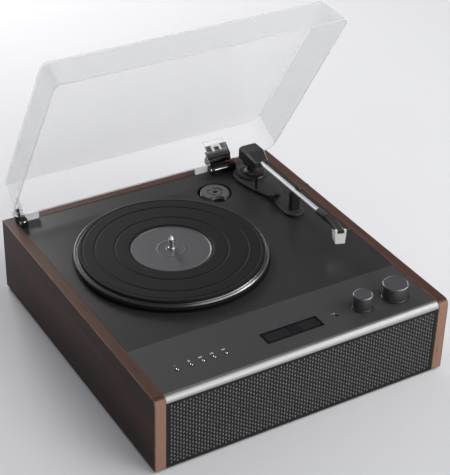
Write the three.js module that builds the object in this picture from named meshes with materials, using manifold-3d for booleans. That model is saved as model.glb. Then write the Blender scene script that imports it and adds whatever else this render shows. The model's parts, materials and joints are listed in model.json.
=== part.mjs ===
// A record player in a walnut case: belt-driven platter, pivoted tonearm, built-in
// speakers behind a woven metal grille, and a clear hinged cover that stands open.
// Millimetres, +Z up, the front towards -Y.
import * as THREE from 'three';
import { mergeVertices } from 'three/addons/utils/BufferGeometryUtils.js';
import Module from 'manifold-3d';

const wasm = await Module();
wasm.setup();

// Platter, and the bays round it that make up the case
const platterRadius = 125.6;
const platterSideGap = 17.4;
const platterFrontGap = 28.4;
const armBay = 113.4;
const rearBay = 55.4;
const controlDepth = 97;

// Case: wooden sides, back and floor on four rubber feet
const caseHeight = 104;
const sideWall = 15;
const backWall = 15;
const floorThick = 9;
const edgeRadius = 8;
const footHeight = 3;
const footRadius = 12;
const footInset = 32;
const footScrewRadius = 4;
const footChamfer = 1;
const footScrewDepth = 1.6;

// Vent slots in the floor
const ventCount = 4;
const ventLength = 46;
const ventWidth = 4;
const ventPitch = 12;
const ventFromBack = 120;

// Deck: the rear field, the control panel and the rounded front trim
const deckDrop = 0.4;
const deckThick = 3;
const trimWall = 2.5;

// Grille: a shallow metal pan with a plain border
const grilleSetback = 1;
const grilleSheet = 1.2;
const grilleBorder = 4;
const grilleBorderRise = 0.5;
const grilleReturn = 5;
const grilleReturnWall = 2;

// Speakers on the baffle
const baffleThick = 9;
const speakerFromSide = 91;
const speakerHeight = 51;
const speakerHoleRadius = 33;
const speakerFlangeRadius = 38;
const speakerFlangeThick = 3;
const basketRadius = 31;
const basketWall = 2;
const basketDepth = 20;
const magnetRadius = 24;
const magnetDepth = 12;
const coneWall = 1;
const coneDepth = 15;
const coneNeckRadius = 10;
const coneGap = 0.4;

// Platter, its mat and its bearing
const platterRise = 9.6;
const platterSkirt = 7.4;
const platterWall = 4;
const platterDisc = 2.6;
const platterBevel = 1.6;
const matInset = 6.1;
const matThick = 2.9;
const matLip = 1;
const labelRadius = 52.8;
const labelRise = 1.2;
const labelGap = 0.4;
const hubRingRadius = 19;
const hubRingWidth = 1.2;
const hubRingRise = 0.5;
const driveRingRadius = 60;
const driveRingWall = 3;
const driveRingDepth = 14.6;
const hubRadius = 12;
const hubDepth = 9.6;
const spindleRadius = 3.6;
const spindleRise = 17.7;
const spindleTaper = 5;
const spindleTip = 1.2;
const spindleStepRadius = 4.6;
const spindleStepRise = 2;
const spindleCollar = 1;
const spindleCollarRadius = 6.5;
const spindleDepth = 54;
const bearingWall = 4.4;
const bearingLength = 39;
const bearingFlangeRadius = 15;
const bearingFlangeThick = 2.4;
const runningFit = 0.1;

// Well in the deck under the platter
const wellInset = 13.6;
const wellDepth = 12;
const wellFloor = 2.5;
const wellWall = 2.5;

// Motor, pulley and belt
const motorAngle = 225;
const motorDistance = 84;
const motorRadius = 17;
const motorLength = 30;
const motorShaftRadius = 1;
const motorShaftDepth = 8;
const motorBossRadius = 5;
const motorBossRise = 0.8;
const pulleyRadius = 5.6;
const pulleyFlange = 1.6;
const pulleyFlangeThick = 1.2;
const pulleyHeight = 8;
const pulleyGap = 2.2;
const beltHeight = 4.5;
const beltThick = 0.8;
const beltGap = 0.3;

// Adapter for large-holed records, in its recess
const adapterFromArm = 68.2;
const adapterFromBack = 71;
const adapterRadius = 21.5;
const adapterBossRadius = 19;
const adapterFlange = 2.2;
const adapterThick = 5;
const adapterHoleGap = 0.15;
const adapterSpokeRadius = 14;
const adapterSpokeInner = 8;
const adapterSpokeDepth = 1.6;
const recessRadius = 23.5;
const recessDepth = 3.6;
const recessWall = 2;
const notchRadius = 8;

// Controls on the panel
const controlFromFront = 40;
const volumeFromTuning = 48.9;
const volumeRadius = 12.5;
const tuningFromSide = 39.6;
const tuningRadius = 16.5;
const knobHeight = 19.5;
const knobBevel = 1.3;
const knobDish = 0.5;
const knobFloat = 0.4;
const knobRecessDepth = 0.9;
const knobRecessGap = 1.4;
const knobSkirtWall = 2.4;
const knobCap = 4;
const knobBossRadius = 5.4;
const knobStemRadius = 3;
const knobStemDepth = 9;
const stemHoleGap = 1;
const encoderSize = 13;
const encoderHeight = 7;
const encoderBushRadius = 4.6;
const boardDrop = 14;
const boardThick = 1.6;
const boardFromFront = 24;
const boardDepth = 34;
const boardInset = 21;
const boardPostRadius = 3;
const boardPostInset = 5;
const displayOffset = 1.5;
const displayWidth = 81;
const displayDepth = 22.5;
const displayFromFront = 41.3;
const lensInset = 0.3;
const lensLip = 2;
const lensLipThick = 1.4;
const powerButtonFromSide = 36;
const secondButtonStep = 18.7;
const buttonPitch = 15.3;
const buttonCount = 5;
const buttonRadius = 1.8;
const buttonRise = 0.8;
const buttonDome = 0.5;
const buttonGap = 0.2;
const buttonFlangeRadius = 3.2;
const buttonFlangeThick = 1.2;
const buttonTravel = 1;
const switchRadius = 2.6;
const switchHeight = 1.6;
const sensorFromVolume = 37;
const sensorRadius = 1.6;

// Circuit board and sockets
const mainBoardWidth = 120;
const mainBoardDepth = 76;
const mainBoardFromSide = 91;
const mainBoardFromBack = 62;
const mainBoardRise = 7;
const transformerSize = 34;
const transformerHeight = 28;
const capacitorRadius = 7;
const capacitorHeight = 20;
const capacitorSpacing = 17;
const heatsinkLength = 44;
const heatsinkHeight = 24;
const heatsinkFins = 5;
const heatsinkFinWall = 1.6;
const heatsinkPitch = 5;
const socketPlateFromSide = 93;
const socketPlateWidth = 96;
const socketPlateHeight = 34;
const socketPlateThick = 2;
const socketPlateRise = 42;
const socketLip = 4;
const inletWidth = 26;
const inletHeight = 15;
const inletDepth = 16;
const inletCavityWidth = 17;
const inletCavityHeight = 9;
const inletCavityDepth = 11;
const inletRim = 1.6;
const inletPinRadius = 1.2;
const inletPinSpacing = 8.6;
const inletOffset = -30;
const socketGap = 0.2;
const jackSpacing = 15;
const jackOffset = 8;
const jackCollarRadius = 4.1;
const jackCollarRise = 7;
const jackPinRadius = 1.7;
const jackBodyHeight = 15;
const jackBodyDepth = 13;

// Tonearm: plinth, yoke, faceted housing, tube, headshell and cartridge
const armFromSide = 43;
const armFromBack = 56;
const armHeight = 32.9;
const plinthRise = 4;
const plinthRadius = 26.5;
const plinthPadRadius = 14;
const plinthWaist = 9.5;
const turretRadius = 20;
const turretRise = 3;
const yokePostRadius = 9;
const yokePostDepth = 12;
const yokeCollarRadius = 11;
const yokeCollarThick = 2;
const yokeNeckRadius = 6.5;
const yokeBridgeThick = 3.4;
const yokeHalf = 11.4;
const earThick = 2.6;
const earDepth = 9;
const earTop = 4.4;
const trunnionRadius = 1.5;
const trunnionReach = 13.4;
const housingHalf = 14.6;
const housingNoseHalf = 10;
const housingBack = 17;
const housingBackChamfer = 5;
const housingShoulder = 8;
const housingNose = 26;
const housingTop = 11;
const housingNoseTop = 3.4;
const housingBottom = 5.2;
const housingChamfer = 2.4;
const housingWall = 2.2;
const housingBlockHalf = 5.4;
const housingBlockFront = 21;
const housingBlockBack = 4;
const tubeRadius = 3.3;
const tubeBore = 2.3;
const tubeReach = 173;
const tubeTail = 12;
const counterRadius = 8.2;
const counterLength = 8;
const headshellFerrule = 12;
const headshellFerruleRadius = 4.7;
const headshellRootWidth = 8;
const headshellRootHalf = 3.8;
const headshellSpigot = 5;
const headshellBendBack = 25;
const headshellBendSide = 2.4;
const headshellLength = 40;
const headshellSide = -3.5;
const headshellAngle = 20;
const headshellBendWidth = 11;
const headshellNoseWidth = 9;
const headshellTopRise = 2.2;
const headshellBendDrop = 4.4;
const headshellNoseDrop = 1.6;
const headshellChamfer = 1.2;
const fingerLength = 14;
const fingerWall = 1.4;
const fingerWidth = 3;
const fingerBack = 4;
const cartridgeWidth = 14.6;
const cartridgeLength = 17;
const cartridgeDrop = 17.4;
const cartridgeProngRise = 0.4;
const cartridgeGap = 0.25;
const cartridgeTaper = 2;
const stylusWidth = 5;
const stylusLength = 9;
const stylusThick = 1.2;
const stylusTip = 0.9;
const stylusTipBack = 4;
const stylusTipRadius = 0.6;

// Arm rest with its clip, and the cueing lever with its lift bar
const restFromArm = 108;
const restDepth = 8;
const restSeatHalf = 4.6;
const restGap = 0.3;
const restProngWall = 3.6;
const restProngRise = 3.4;
const clipPinRadius = 1.1;
const clipPinLength = 4.6;
const clipEyeWall = 1.5;
const clipThick = 3.6;
const clipWall = 1.5;
const clipHookGap = 0.6;
const clipHookStart = 20;
const clipHookEnd = 200;
const clipOpenAngle = 180;
const liftRadius = 42;
const liftBand = 5;
const liftThick = 2.2;
const liftDrop = 2.4;
const liftStart = 10;
const liftEnd = 36;
const liftStemAngle = 22;
const liftStemRadius = 2.2;
const liftStemDepth = 14;
const liftBossRadius = 5.5;
const leverFromArm = 73;
const leverSide = -8;
const leverLugWidth = 3;
const leverLugHeight = 7;
const leverPinRadius = 1.2;
const leverWidth = 4;
const leverLength = 13;
const leverThick = 2.4;
const leverKnobRadius = 2.8;
const leverAngle = 35;

// Cover: a clear drafted shell on two rear hinges, standing open
const coverSideInset = 3;
const coverFrontGap = 2;
const coverBackInset = 18;
const coverHeight = 46.5;
const coverWall = 2.5;
const coverSideDraft = 5;
const coverFrontDraft = 20;
const coverBackDraft = 6;
const coverFrontRadius = 12;
const coverBackRadius = 16;
const coverTopRound = 4;
const coverLift = 1.5;
const coverOpenAngle = 58.5;

// Cover hinges
const hingeFromBack = 10.5;
const hingeRise = 11.8;
const hingeRadius = 5.6;
const hingePinRadius = 2;
const hingeRightFromSide = 72;
const hingeRightWidth = 37;
const hingeKnuckleWidth = 8;
const hingeGap = 0.4;
const hingeBlockInset = 21;
const hingeBlockDepth = 10;
const hingeBlockHeight = 11;
const hingeBlockRound = 5;
const hingeNeckThick = 5;
const hingeLeftFromSide = 5;
const hingeLeftWidth = 9;
const hingeLeftKnuckle = 4.4;
const leafHeight = 27;
const leafThick = 2;
const leafGap = 0.3;
const notchHeight = 15;
const notchSide = 1.2;
const clipFrameMargin = 4;
const clipFrameRise = 2.4;
const clipFrameHeight = 20;
const clipFrameWall = 2;
const springClipWidth = 15;
const springClipHeight = 11;
const springClipWall = 3.4;
const springClipThick = 1.6;

// Clear guide plates behind the cover's rear edge
const guideWidth = 20;
const guideThick = 2.5;
const guideHeight = 11;
const guideLeftFromSide = 21;
const guideRightFromSide = 102;
const guideRadius = 2;

// Facet counts, the overrun of every cut, and how near two corners are one
const roundBig = 40;
const roundMid = 24;
const roundSmall = 12;
const roundTiny = 8;
const overrun = 1;
const mergeWithin = 1e-4;

// Places that follow from the sizes
const caseWidth = 2 * sideWall + platterSideGap + 2 * platterRadius + armBay;
const caseDepth = controlDepth + platterFrontGap + 2 * platterRadius + rearBay;
const floorZ = footHeight;
const topZ = footHeight + caseHeight;
const deckZ = topZ - deckDrop;
const deckUnder = deckZ - deckThick;
const innerHalf = caseWidth / 2 - sideWall;
const platterX = -innerHalf + platterSideGap + platterRadius;
const platterY = controlDepth + platterFrontGap + platterRadius;
const matRadius = platterRadius - matInset;
const wellRadius = platterRadius - wellInset;
const armX = innerHalf - armFromSide;
const armY = caseDepth - armFromBack;
const restY = armY - restFromArm;
const adapterX = armX - adapterFromArm;
const adapterY = caseDepth - adapterFromBack;
const tuningX = innerHalf - tuningFromSide;
const volumeX = tuningX - volumeFromTuning;
const sensorX = volumeX - sensorFromVolume;
const displayX = displayOffset;
const boardHalf = innerHalf - boardInset;
const mainBoardX = innerHalf - mainBoardFromSide;
const socketPlateX = innerHalf - socketPlateFromSide;
const speakerSpacing = 2 * (innerHalf - speakerFromSide);
const backInner = caseDepth - backWall;
const trimBottom = deckZ - edgeRadius;
const grilleBack = grilleSetback + grilleSheet + grilleReturn;
const baffleBack = grilleBack + baffleThick;
const platterTop = deckZ + platterRise;
const discUnder = platterTop - platterDisc;
const wellTop = deckZ - wellDepth;
const wellUnder = wellTop - wellFloor;
const plinthTop = deckZ + plinthRise;
const armZ = deckZ + armHeight;
const hingeZ = topZ + hingeRise;
const rimZ = topZ + coverLift;
const coverWidth = caseWidth - 2 * coverSideInset;
const coverBack = caseDepth - coverBackInset;
const coverFront = controlDepth + coverFrontGap;
const hingeY = caseDepth - hingeFromBack;
const hingeRightX = innerHalf - hingeRightFromSide;
const hingeLeftX = -innerHalf + hingeLeftFromSide;
const hingeBlockBack = caseDepth - hingeBlockInset;
const hingeFront = hingeBlockBack - hingeBlockDepth;
const guideLeftX = -innerHalf + guideLeftFromSide;
const guideRightX = innerHalf - guideRightFromSide;
const headshellReach = tubeReach + headshellFerrule + headshellLength;
const headshellBendReach = headshellReach - headshellBendBack;
const boardTop = deckUnder - boardDrop;
const quarterTurn = 90;
const degree = Math.PI / (2 * quarterTurn);

// Mesh and solid helpers

// A closed solid from a geometry, with shared corners merged and faces turned outward.
function solidOf(geometry) {
  const plain = new THREE.BufferGeometry();
  plain.setAttribute('position', geometry.attributes.position.clone());
  if (geometry.index) plain.setIndex(geometry.index.clone());
  const merged = mergeVertices(plain, mergeWithin);
  const index = Array.from(merged.index.array);
  const faces = [];
  for (let i = 0; i < index.length; i += 3) {
    const [a, b, c] = [index[i], index[i + 1], index[i + 2]];
    if (a !== b && b !== c && c !== a) faces.push(a, b, c);
  }
  const build = (list) => new wasm.Manifold(new wasm.Mesh({
    numProp: 3,
    vertProperties: new Float32Array(merged.attributes.position.array),
    triVerts: new Uint32Array(list),
  }));
  const solid = build(faces);
  if (solid.volume() > 0) return solid;
  const turned = [];
  for (let i = 0; i < faces.length; i += 3) turned.push(faces[i], faces[i + 2], faces[i + 1]);
  return build(turned);
}

const join = (...solids) => solids.flat().reduce((whole, piece) => whole.add(piece));
const cut = (solid, ...tools) => tools.flat().reduce((whole, tool) => whole.subtract(tool), solid);

// A box from its low and high corners.
function box(x0, x1, y0, y1, z0, z1) {
  const geometry = new THREE.BoxGeometry(x1 - x0, y1 - y0, z1 - z0);
  geometry.translate((x0 + x1) / 2, (y0 + y1) / 2, (z0 + z1) / 2);
  return solidOf(geometry);
}

// A turned solid about the vertical line through (x, y), from a profile of [radius, height].
function turn(profile, x, y, facets) {
  const points = profile.map(([r, z]) => new THREE.Vector2(r, z));
  const first = points[0];
  const last = points[points.length - 1];
  if (first.x > 0 || last.x > 0) points.push(first.clone());
  const geometry = new THREE.LatheGeometry(points, facets);
  geometry.rotateX(Math.PI / 2);
  geometry.translate(x, y, 0);
  return solidOf(geometry);
}

const rod = (radius, z0, z1, x, y, facets) =>
  turn([[0, z0], [radius, z0], [radius, z1], [0, z1]], x, y, facets);

// The same turned solid, laid along X or Y, given the place of its axis.
function turnAlongX(profile, y, z, facets) {
  const points = profile.map(([r, x]) => new THREE.Vector2(r, x));
  if (points[0].x > 0) points.push(points[0].clone());
  const geometry = new THREE.LatheGeometry(points, facets);
  geometry.rotateZ(-Math.PI / 2);
  geometry.translate(0, y, z);
  return solidOf(geometry);
}

const rodAlongX = (radius, x0, x1, y, z, facets) =>
  turnAlongX([[0, x0], [radius, x0], [radius, x1], [0, x1]], y, z, facets);

function turnAlongY(profile, x, z, facets) {
  const points = profile.map(([r, y]) => new THREE.Vector2(r, y));
  if (points[0].x > 0) points.push(points[0].clone());
  const geometry = new THREE.LatheGeometry(points, facets);
  geometry.translate(x, 0, z);
  return solidOf(geometry);
}

const rodAlongY = (radius, y0, y1, x, z, facets) =>
  turnAlongY([[0, y0], [radius, y0], [radius, y1], [0, y1]], x, z, facets);

// A plan outline raised from z0 to z1.
function raise(shape, z0, z1, facets = roundTiny) {
  const geometry = new THREE.ExtrudeGeometry(shape, { depth: z1 - z0, bevelEnabled: false,
    curveSegments: facets });
  geometry.translate(0, 0, z0);
  return solidOf(geometry);
}

// A side outline of (y, z) stretched from x0 to x1.
function stretch(shape, x0, x1, facets = roundTiny) {
  const geometry = new THREE.ExtrudeGeometry(shape, { depth: x1 - x0, bevelEnabled: false,
    curveSegments: facets });
  geometry.applyMatrix4(new THREE.Matrix4().set(0, 0, 1, x0, 1, 0, 0, 0, 0, 1, 0, 0, 0, 0, 0, 1));
  return solidOf(geometry);
}

// A front outline of (x, z) stretched from y0 to y1.
function stretchAlongY(shape, y0, y1, facets = roundTiny) {
  const geometry = new THREE.ExtrudeGeometry(shape, { depth: y1 - y0, bevelEnabled: false,
    curveSegments: facets });
  geometry.applyMatrix4(new THREE.Matrix4().set(1, 0, 0, 0, 0, 0, -1, y1, 0, 1, 0, 0, 0, 0, 0, 1));
  return solidOf(geometry);
}

// A solid through a list of rings that all have the same number of points.
function loft(rings) {
  const count = rings[0].length;
  const places = rings.flat(2);
  const index = [];
  for (let r = 0; r < rings.length - 1; r += 1) {
    for (let i = 0; i < count; i += 1) {
      const a = r * count + i;
      const b = r * count + ((i + 1) % count);
      index.push(a, b, b + count, a, b + count, a + count);
    }
  }
  const end = (rings.length - 1) * count;
  for (let i = 1; i < count - 1; i += 1) {
    index.push(0, i + 1, i);
    index.push(end, end + i, end + i + 1);
  }
  const geometry = new THREE.BufferGeometry();
  geometry.setAttribute('position', new THREE.Float32BufferAttribute(places, 3));
  geometry.setIndex(index);
  return solidOf(geometry);
}

const outline = (points) => new THREE.Shape(points.map(([a, b]) => new THREE.Vector2(a, b)));

// A rectangle with rounded corners as a Shape.
function roundedRect(x0, x1, y0, y1, radius) {
  const shape = new THREE.Shape();
  shape.absarc(x1 - radius, y1 - radius, radius, 0, Math.PI / 2);
  shape.absarc(x0 + radius, y1 - radius, radius, Math.PI / 2, Math.PI);
  shape.absarc(x0 + radius, y0 + radius, radius, Math.PI, 1.5 * Math.PI);
  shape.absarc(x1 - radius, y0 + radius, radius, 1.5 * Math.PI, 2 * Math.PI);
  return shape;
}

const group = new THREE.Group();

function material(color, roughness, metalness, opacity = 1) {
  return new THREE.MeshStandardMaterial({ color, roughness, metalness, opacity, transparent: opacity < 1 });
}

const walnut = material('#4b3429', 0.5, 0);
const floorBoard = material('#3a302a', 0.8, 0);
const graphite = material('#38393b', 0.42, 0.5);
const graphiteLight = material('#47484a', 0.4, 0.5);
const satinMetal = material('#c9cacc', 0.3, 1);
const chrome = material('#e4e5e7', 0.12, 1);
const darkMetal = material('#2c2d2f', 0.35, 0.8);
const blackPlastic = material('#17171a', 0.45, 0);
const greyPlastic = material('#8f9092', 0.5, 0);
const whitePlastic = material('#e8e8e6', 0.4, 0);
const rubberBlack = material('#1b1b1c', 0.85, 0);
const clearPlastic = material('#e9edf0', 0.08, 0, 0.3);
const boardGreen = material('#1d5136', 0.6, 0);
const brass = material('#b79a5a', 0.3, 1);
const fibreBoard = material('#6d5a45', 0.8, 0);
const paperCone = material('#26262a', 0.9, 0);

// Names a solid and puts it in the part, or in the turned group that carries it.
function piece(name, solid, look, home = group) {
  const mesh = solid.getMesh();
  const geometry = new THREE.BufferGeometry();
  geometry.setAttribute('position', new THREE.Float32BufferAttribute(mesh.vertProperties, 3));
  geometry.setIndex(Array.from(mesh.triVerts));
  const node = new THREE.Mesh(geometry, look);
  node.name = name;
  home.add(node);
}

// Case

function sidePanel(x0) {
  const side = new THREE.Shape();
  side.moveTo(0, floorZ);
  side.lineTo(caseDepth, floorZ);
  side.lineTo(caseDepth, topZ);
  side.lineTo(edgeRadius, topZ);
  side.absarc(edgeRadius, topZ - edgeRadius, edgeRadius, Math.PI / 2, Math.PI);
  return stretch(side, x0, x0 + sideWall);
}

const plateX0 = socketPlateX - socketPlateWidth / 2;
const plateX1 = socketPlateX + socketPlateWidth / 2;
const plateZ0 = floorZ + socketPlateRise;
const plateZ1 = plateZ0 + socketPlateHeight;

function backPanel() {
  const board = box(-innerHalf, innerHalf, backInner, caseDepth, floorZ, topZ);
  const window = box(plateX0 + socketLip, plateX1 - socketLip, backInner - overrun, caseDepth + overrun,
    plateZ0 + socketLip, plateZ1 - socketLip);
  const seat = box(plateX0, plateX1, caseDepth - socketPlateThick, caseDepth + overrun, plateZ0, plateZ1);
  return cut(board, window, seat);
}

function floorPanel() {
  const board = box(-innerHalf, innerHalf, grilleBack, backInner, floorZ, floorZ + floorThick);
  const slots = [];
  for (const side of [-1, 1]) {
    for (let i = 0; i < ventCount; i += 1) {
      const y = caseDepth - ventFromBack - i * ventPitch;
      const x = side * speakerSpacing / 2;
      const slot = roundedRect(x - ventLength / 2, x + ventLength / 2, y - ventWidth / 2, y + ventWidth / 2,
        ventWidth / 2);
      slots.push(raise(slot, floorZ - overrun, floorZ + floorThick + overrun, roundTiny / 4));
    }
  }
  return cut(board, slots);
}

function foot(x, y) {
  return turn([
    [0, footScrewDepth], [footScrewRadius, footScrewDepth], [footScrewRadius, 0],
    [footRadius - footChamfer, 0], [footRadius, footChamfer], [footRadius, floorZ], [0, floorZ],
  ], x, y, roundSmall);
}

piece('panel_left', sidePanel(-caseWidth / 2), walnut);
piece('panel_right', sidePanel(innerHalf), walnut);
piece('panel_back', backPanel(), walnut);
piece('panel_floor', floorPanel(), floorBoard);
for (const [row, y] of [['front', footInset], ['rear', caseDepth - footInset]]) {
  for (const [side, sign] of [['left', -1], ['right', 1]]) {
    piece(`foot_${row}_${side}`, foot(sign * (caseWidth / 2 - footInset), y), rubberBlack);
  }
}

// Deck and control panel

const motorX = platterX + motorDistance * Math.cos(motorAngle * degree);
const motorY = platterY + motorDistance * Math.sin(motorAngle * degree);
const liftX = armX - liftRadius * Math.sin(liftStemAngle * degree);
const liftY = armY - liftRadius * Math.cos(liftStemAngle * degree);
const leverX = armX + leverSide;
const leverY = armY - leverFromArm;

function deckPlate() {
  const plate = box(-innerHalf, innerHalf, controlDepth, backInner, deckUnder, deckZ);
  const well = rod(wellRadius + wellWall, wellUnder, deckUnder, platterX, platterY, roundBig);
  const wellHollow = rod(wellRadius, wellTop, deckZ + overrun, platterX, platterY, roundBig);
  const recessFloor = deckZ - recessDepth;
  const notchY = adapterY - recessRadius;
  const cup = join(
    rod(recessRadius + recessWall, recessFloor - recessWall, deckUnder, adapterX, adapterY, roundMid),
    rod(notchRadius + recessWall, recessFloor - recessWall, deckUnder, adapterX, notchY, roundSmall),
  );
  const holes = [
    wellHollow,
    rod(recessRadius, recessFloor, deckZ + overrun, adapterX, adapterY, roundMid),
    rod(notchRadius, recessFloor, deckZ + overrun, adapterX, notchY, roundSmall),
    rod(spindleRadius + bearingWall, wellUnder - overrun, wellTop + overrun, platterX, platterY, roundMid),
    rod(motorBossRadius, wellUnder - overrun, wellTop + overrun, motorX, motorY, roundSmall),
    rod(yokePostRadius + stemHoleGap, deckUnder - overrun, deckZ + overrun, armX, armY, roundSmall),
    rod(liftStemRadius + stemHoleGap, deckUnder - overrun, deckZ + overrun, liftX, liftY, roundTiny),
  ];
  return cut(join(plate, well, cup), holes);
}

const powerButtonX = -innerHalf + powerButtonFromSide;
const buttonXs = Array.from({ length: buttonCount }, (_, i) =>
  (i === 0 ? powerButtonX : powerButtonX + secondButtonStep + (i - 1) * buttonPitch));
const knobs = [['volume', volumeX, volumeRadius], ['tuning', tuningX, tuningRadius]];
const displayX0 = displayX - displayWidth / 2;
const displayX1 = displayX + displayWidth / 2;
const displayY0 = displayFromFront - displayDepth / 2;
const displayY1 = displayFromFront + displayDepth / 2;

function controlPanel() {
  const plate = box(-innerHalf, innerHalf, edgeRadius, controlDepth, deckUnder, deckZ);
  const holes = buttonXs.map((x) =>
    rod(buttonRadius + buttonGap, deckUnder - overrun, deckZ + overrun, x, controlFromFront, roundTiny));
  holes.push(box(displayX0, displayX1, displayY0, displayY1, deckUnder - overrun, deckZ + overrun));
  holes.push(rod(sensorRadius, deckUnder - overrun, deckZ + overrun, sensorX, controlFromFront, roundTiny));
  for (const [, x, radius] of knobs) {
    holes.push(rod(radius + knobRecessGap, deckZ - knobRecessDepth, deckZ + overrun, x, controlFromFront,
      roundMid));
    holes.push(rod(knobStemRadius + stemHoleGap, deckUnder - overrun, deckZ, x, controlFromFront,
      roundSmall));
  }
  return cut(plate, holes);
}

function frontTrim() {
  const inner = edgeRadius - trimWall;
  const nose = new THREE.Shape();
  nose.absarc(edgeRadius, trimBottom, edgeRadius, Math.PI / 2, Math.PI);
  nose.lineTo(trimWall, trimBottom);
  nose.absarc(edgeRadius, trimBottom, inner, Math.PI, Math.PI / 2, true);
  return stretch(nose, -innerHalf, innerHalf);
}

piece('deck_plate', deckPlate(), graphite);
piece('control_panel', controlPanel(), graphiteLight);
piece('front_trim', frontTrim(), satinMetal);

// Grille, baffle and speakers

function grille() {
  const front = grilleSetback - grilleBorderRise;
  const sheetBack = grilleSetback + grilleSheet;
  const pan = box(-innerHalf, innerHalf, front, grilleBack, floorZ, trimBottom);
  const face = box(-innerHalf + grilleBorder, innerHalf - grilleBorder, front - overrun, grilleSetback,
    floorZ + grilleBorder, trimBottom - grilleBorder);
  const hollow = box(-innerHalf + grilleReturnWall, innerHalf - grilleReturnWall, sheetBack,
    grilleBack + overrun, floorZ + grilleReturnWall, trimBottom - grilleReturnWall);
  return cut(pan, face, hollow);
}

const speakerZ = floorZ + speakerHeight;

function baffle() {
  const board = box(-innerHalf, innerHalf, grilleBack, baffleBack, floorZ + floorThick, deckUnder);
  const trimRoom = box(-innerHalf - overrun, innerHalf + overrun, 0, edgeRadius, trimBottom, deckZ);
  const holes = [-1, 1].map((side) => rodAlongY(speakerHoleRadius, grilleBack - overrun, baffleBack + overrun,
    side * speakerSpacing / 2, speakerZ, roundMid));
  return cut(board, trimRoom, holes);
}

// Basket with flange, tapered frame and magnet, seen from behind.
function speakerBasket(x) {
  const y0 = baffleBack;
  const y1 = y0 + speakerFlangeThick;
  const y2 = y1 + basketDepth;
  return turnAlongY([
    [speakerHoleRadius, y0], [speakerFlangeRadius, y0], [speakerFlangeRadius, y1], [basketRadius, y1],
    [magnetRadius, y2], [magnetRadius, y2 + magnetDepth], [coneNeckRadius, y2 + magnetDepth],
    [coneNeckRadius, y2], [magnetRadius - basketWall, y2 - basketWall],
    [basketRadius - basketWall, y1], [speakerHoleRadius, y1 - coneWall],
  ], x, speakerZ, roundMid);
}

function speakerCone(x) {
  const rim = speakerHoleRadius - coneGap;
  const front = baffleBack - coneWall;
  const back = front + coneDepth;
  return turnAlongY([
    [0, back - coneWall], [coneNeckRadius, back - coneWall], [rim - coneWall * 2, front], [rim, front],
    [rim, front + coneWall], [rim - coneWall * 2, front + coneWall], [coneNeckRadius, back], [0, back],
  ], x, speakerZ, roundMid);
}

piece('grille', grille(), darkMetal);
piece('baffle', baffle(), fibreBoard);
for (const [side, sign] of [['left', -1], ['right', 1]]) {
  piece(`speaker_${side}`, speakerBasket(sign * speakerSpacing / 2), darkMetal);
  piece(`speaker_cone_${side}`, speakerCone(sign * speakerSpacing / 2), paperCone);
}

// Platter, mat, spindle and bearing

function platter() {
  const skirtBottom = platterTop - platterSkirt;
  const body = turn([
    [0, discUnder], [platterRadius - platterWall, discUnder], [platterRadius - platterWall, skirtBottom],
    [platterRadius - platterBevel / 2, skirtBottom], [platterRadius, skirtBottom + platterBevel / 2],
    [platterRadius, platterTop - platterBevel], [platterRadius - platterBevel, platterTop], [0, platterTop],
  ], platterX, platterY, roundBig);
  const label = rod(labelRadius - labelGap, discUnder, platterTop + labelRise, platterX, platterY, roundBig);
  const ringTop = platterTop + labelRise + hubRingRise;
  const ring = turn([
    [hubRingRadius - hubRingWidth, discUnder], [hubRingRadius, discUnder], [hubRingRadius, ringTop],
    [hubRingRadius - hubRingWidth, ringTop],
  ], platterX, platterY, roundMid);
  const driveBottom = discUnder - driveRingDepth;
  const drive = turn([
    [driveRingRadius - driveRingWall, driveBottom], [driveRingRadius, driveBottom],
    [driveRingRadius, platterTop], [driveRingRadius - driveRingWall, platterTop],
  ], platterX, platterY, roundBig);
  const hub = rod(hubRadius, discUnder - hubDepth, discUnder + overrun, platterX, platterY, roundMid);
  const bore = rod(spindleRadius, discUnder - hubDepth - overrun, ringTop + overrun, platterX, platterY,
    roundMid);
  return cut(join(body, label, ring, drive, hub), bore);
}

function mat() {
  const inner = labelRadius;
  const z0 = platterTop;
  const z1 = platterTop + matThick;
  return turn([
    [inner, z0], [matRadius, z0], [matRadius, z1 - matLip], [matRadius - matLip, z1],
    [inner + matLip, z1], [inner, z1 - matLip],
  ], platterX, platterY, roundBig);
}

const hubBottom = discUnder - hubDepth;

function spindle() {
  const top = platterTop + matThick + spindleRise;
  const step = platterTop + labelRise + spindleStepRise;
  const collarBottom = hubBottom - spindleCollar;
  return turn([
    [0, collarBottom - spindleDepth + spindleRise],
    [spindleRadius, collarBottom - spindleDepth + spindleRise],
    [spindleRadius, collarBottom], [spindleCollarRadius, collarBottom], [spindleCollarRadius, hubBottom],
    [spindleRadius, hubBottom], [spindleRadius, platterTop + labelRise],
    [spindleStepRadius, platterTop + labelRise], [spindleStepRadius, step], [spindleRadius, step],
    [spindleRadius, top - spindleTaper], [spindleTip, top], [0, top],
  ], platterX, platterY, roundMid);
}

function bearing() {
  const bore = spindleRadius + runningFit;
  const outer = spindleRadius + bearingWall;
  const top = hubBottom - spindleCollar - runningFit;
  return turn([
    [bore, top - bearingLength], [outer, top - bearingLength], [outer, wellTop],
    [bearingFlangeRadius, wellTop],
    [bearingFlangeRadius, wellTop + bearingFlangeThick], [outer, wellTop + bearingFlangeThick], [outer, top],
    [bore, top],
  ], platterX, platterY, roundMid);
}

piece('platter', platter(), satinMetal);
piece('platter_mat', mat(), rubberBlack);
piece('spindle', spindle(), chrome);
piece('spindle_bearing', bearing(), brass);

// Motor, pulley and belt

const pulleyZ0 = wellTop + pulleyGap;
const beltZ0 = pulleyZ0 + pulleyFlangeThick + (pulleyHeight - 2 * pulleyFlangeThick - beltHeight) / 2;

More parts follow.
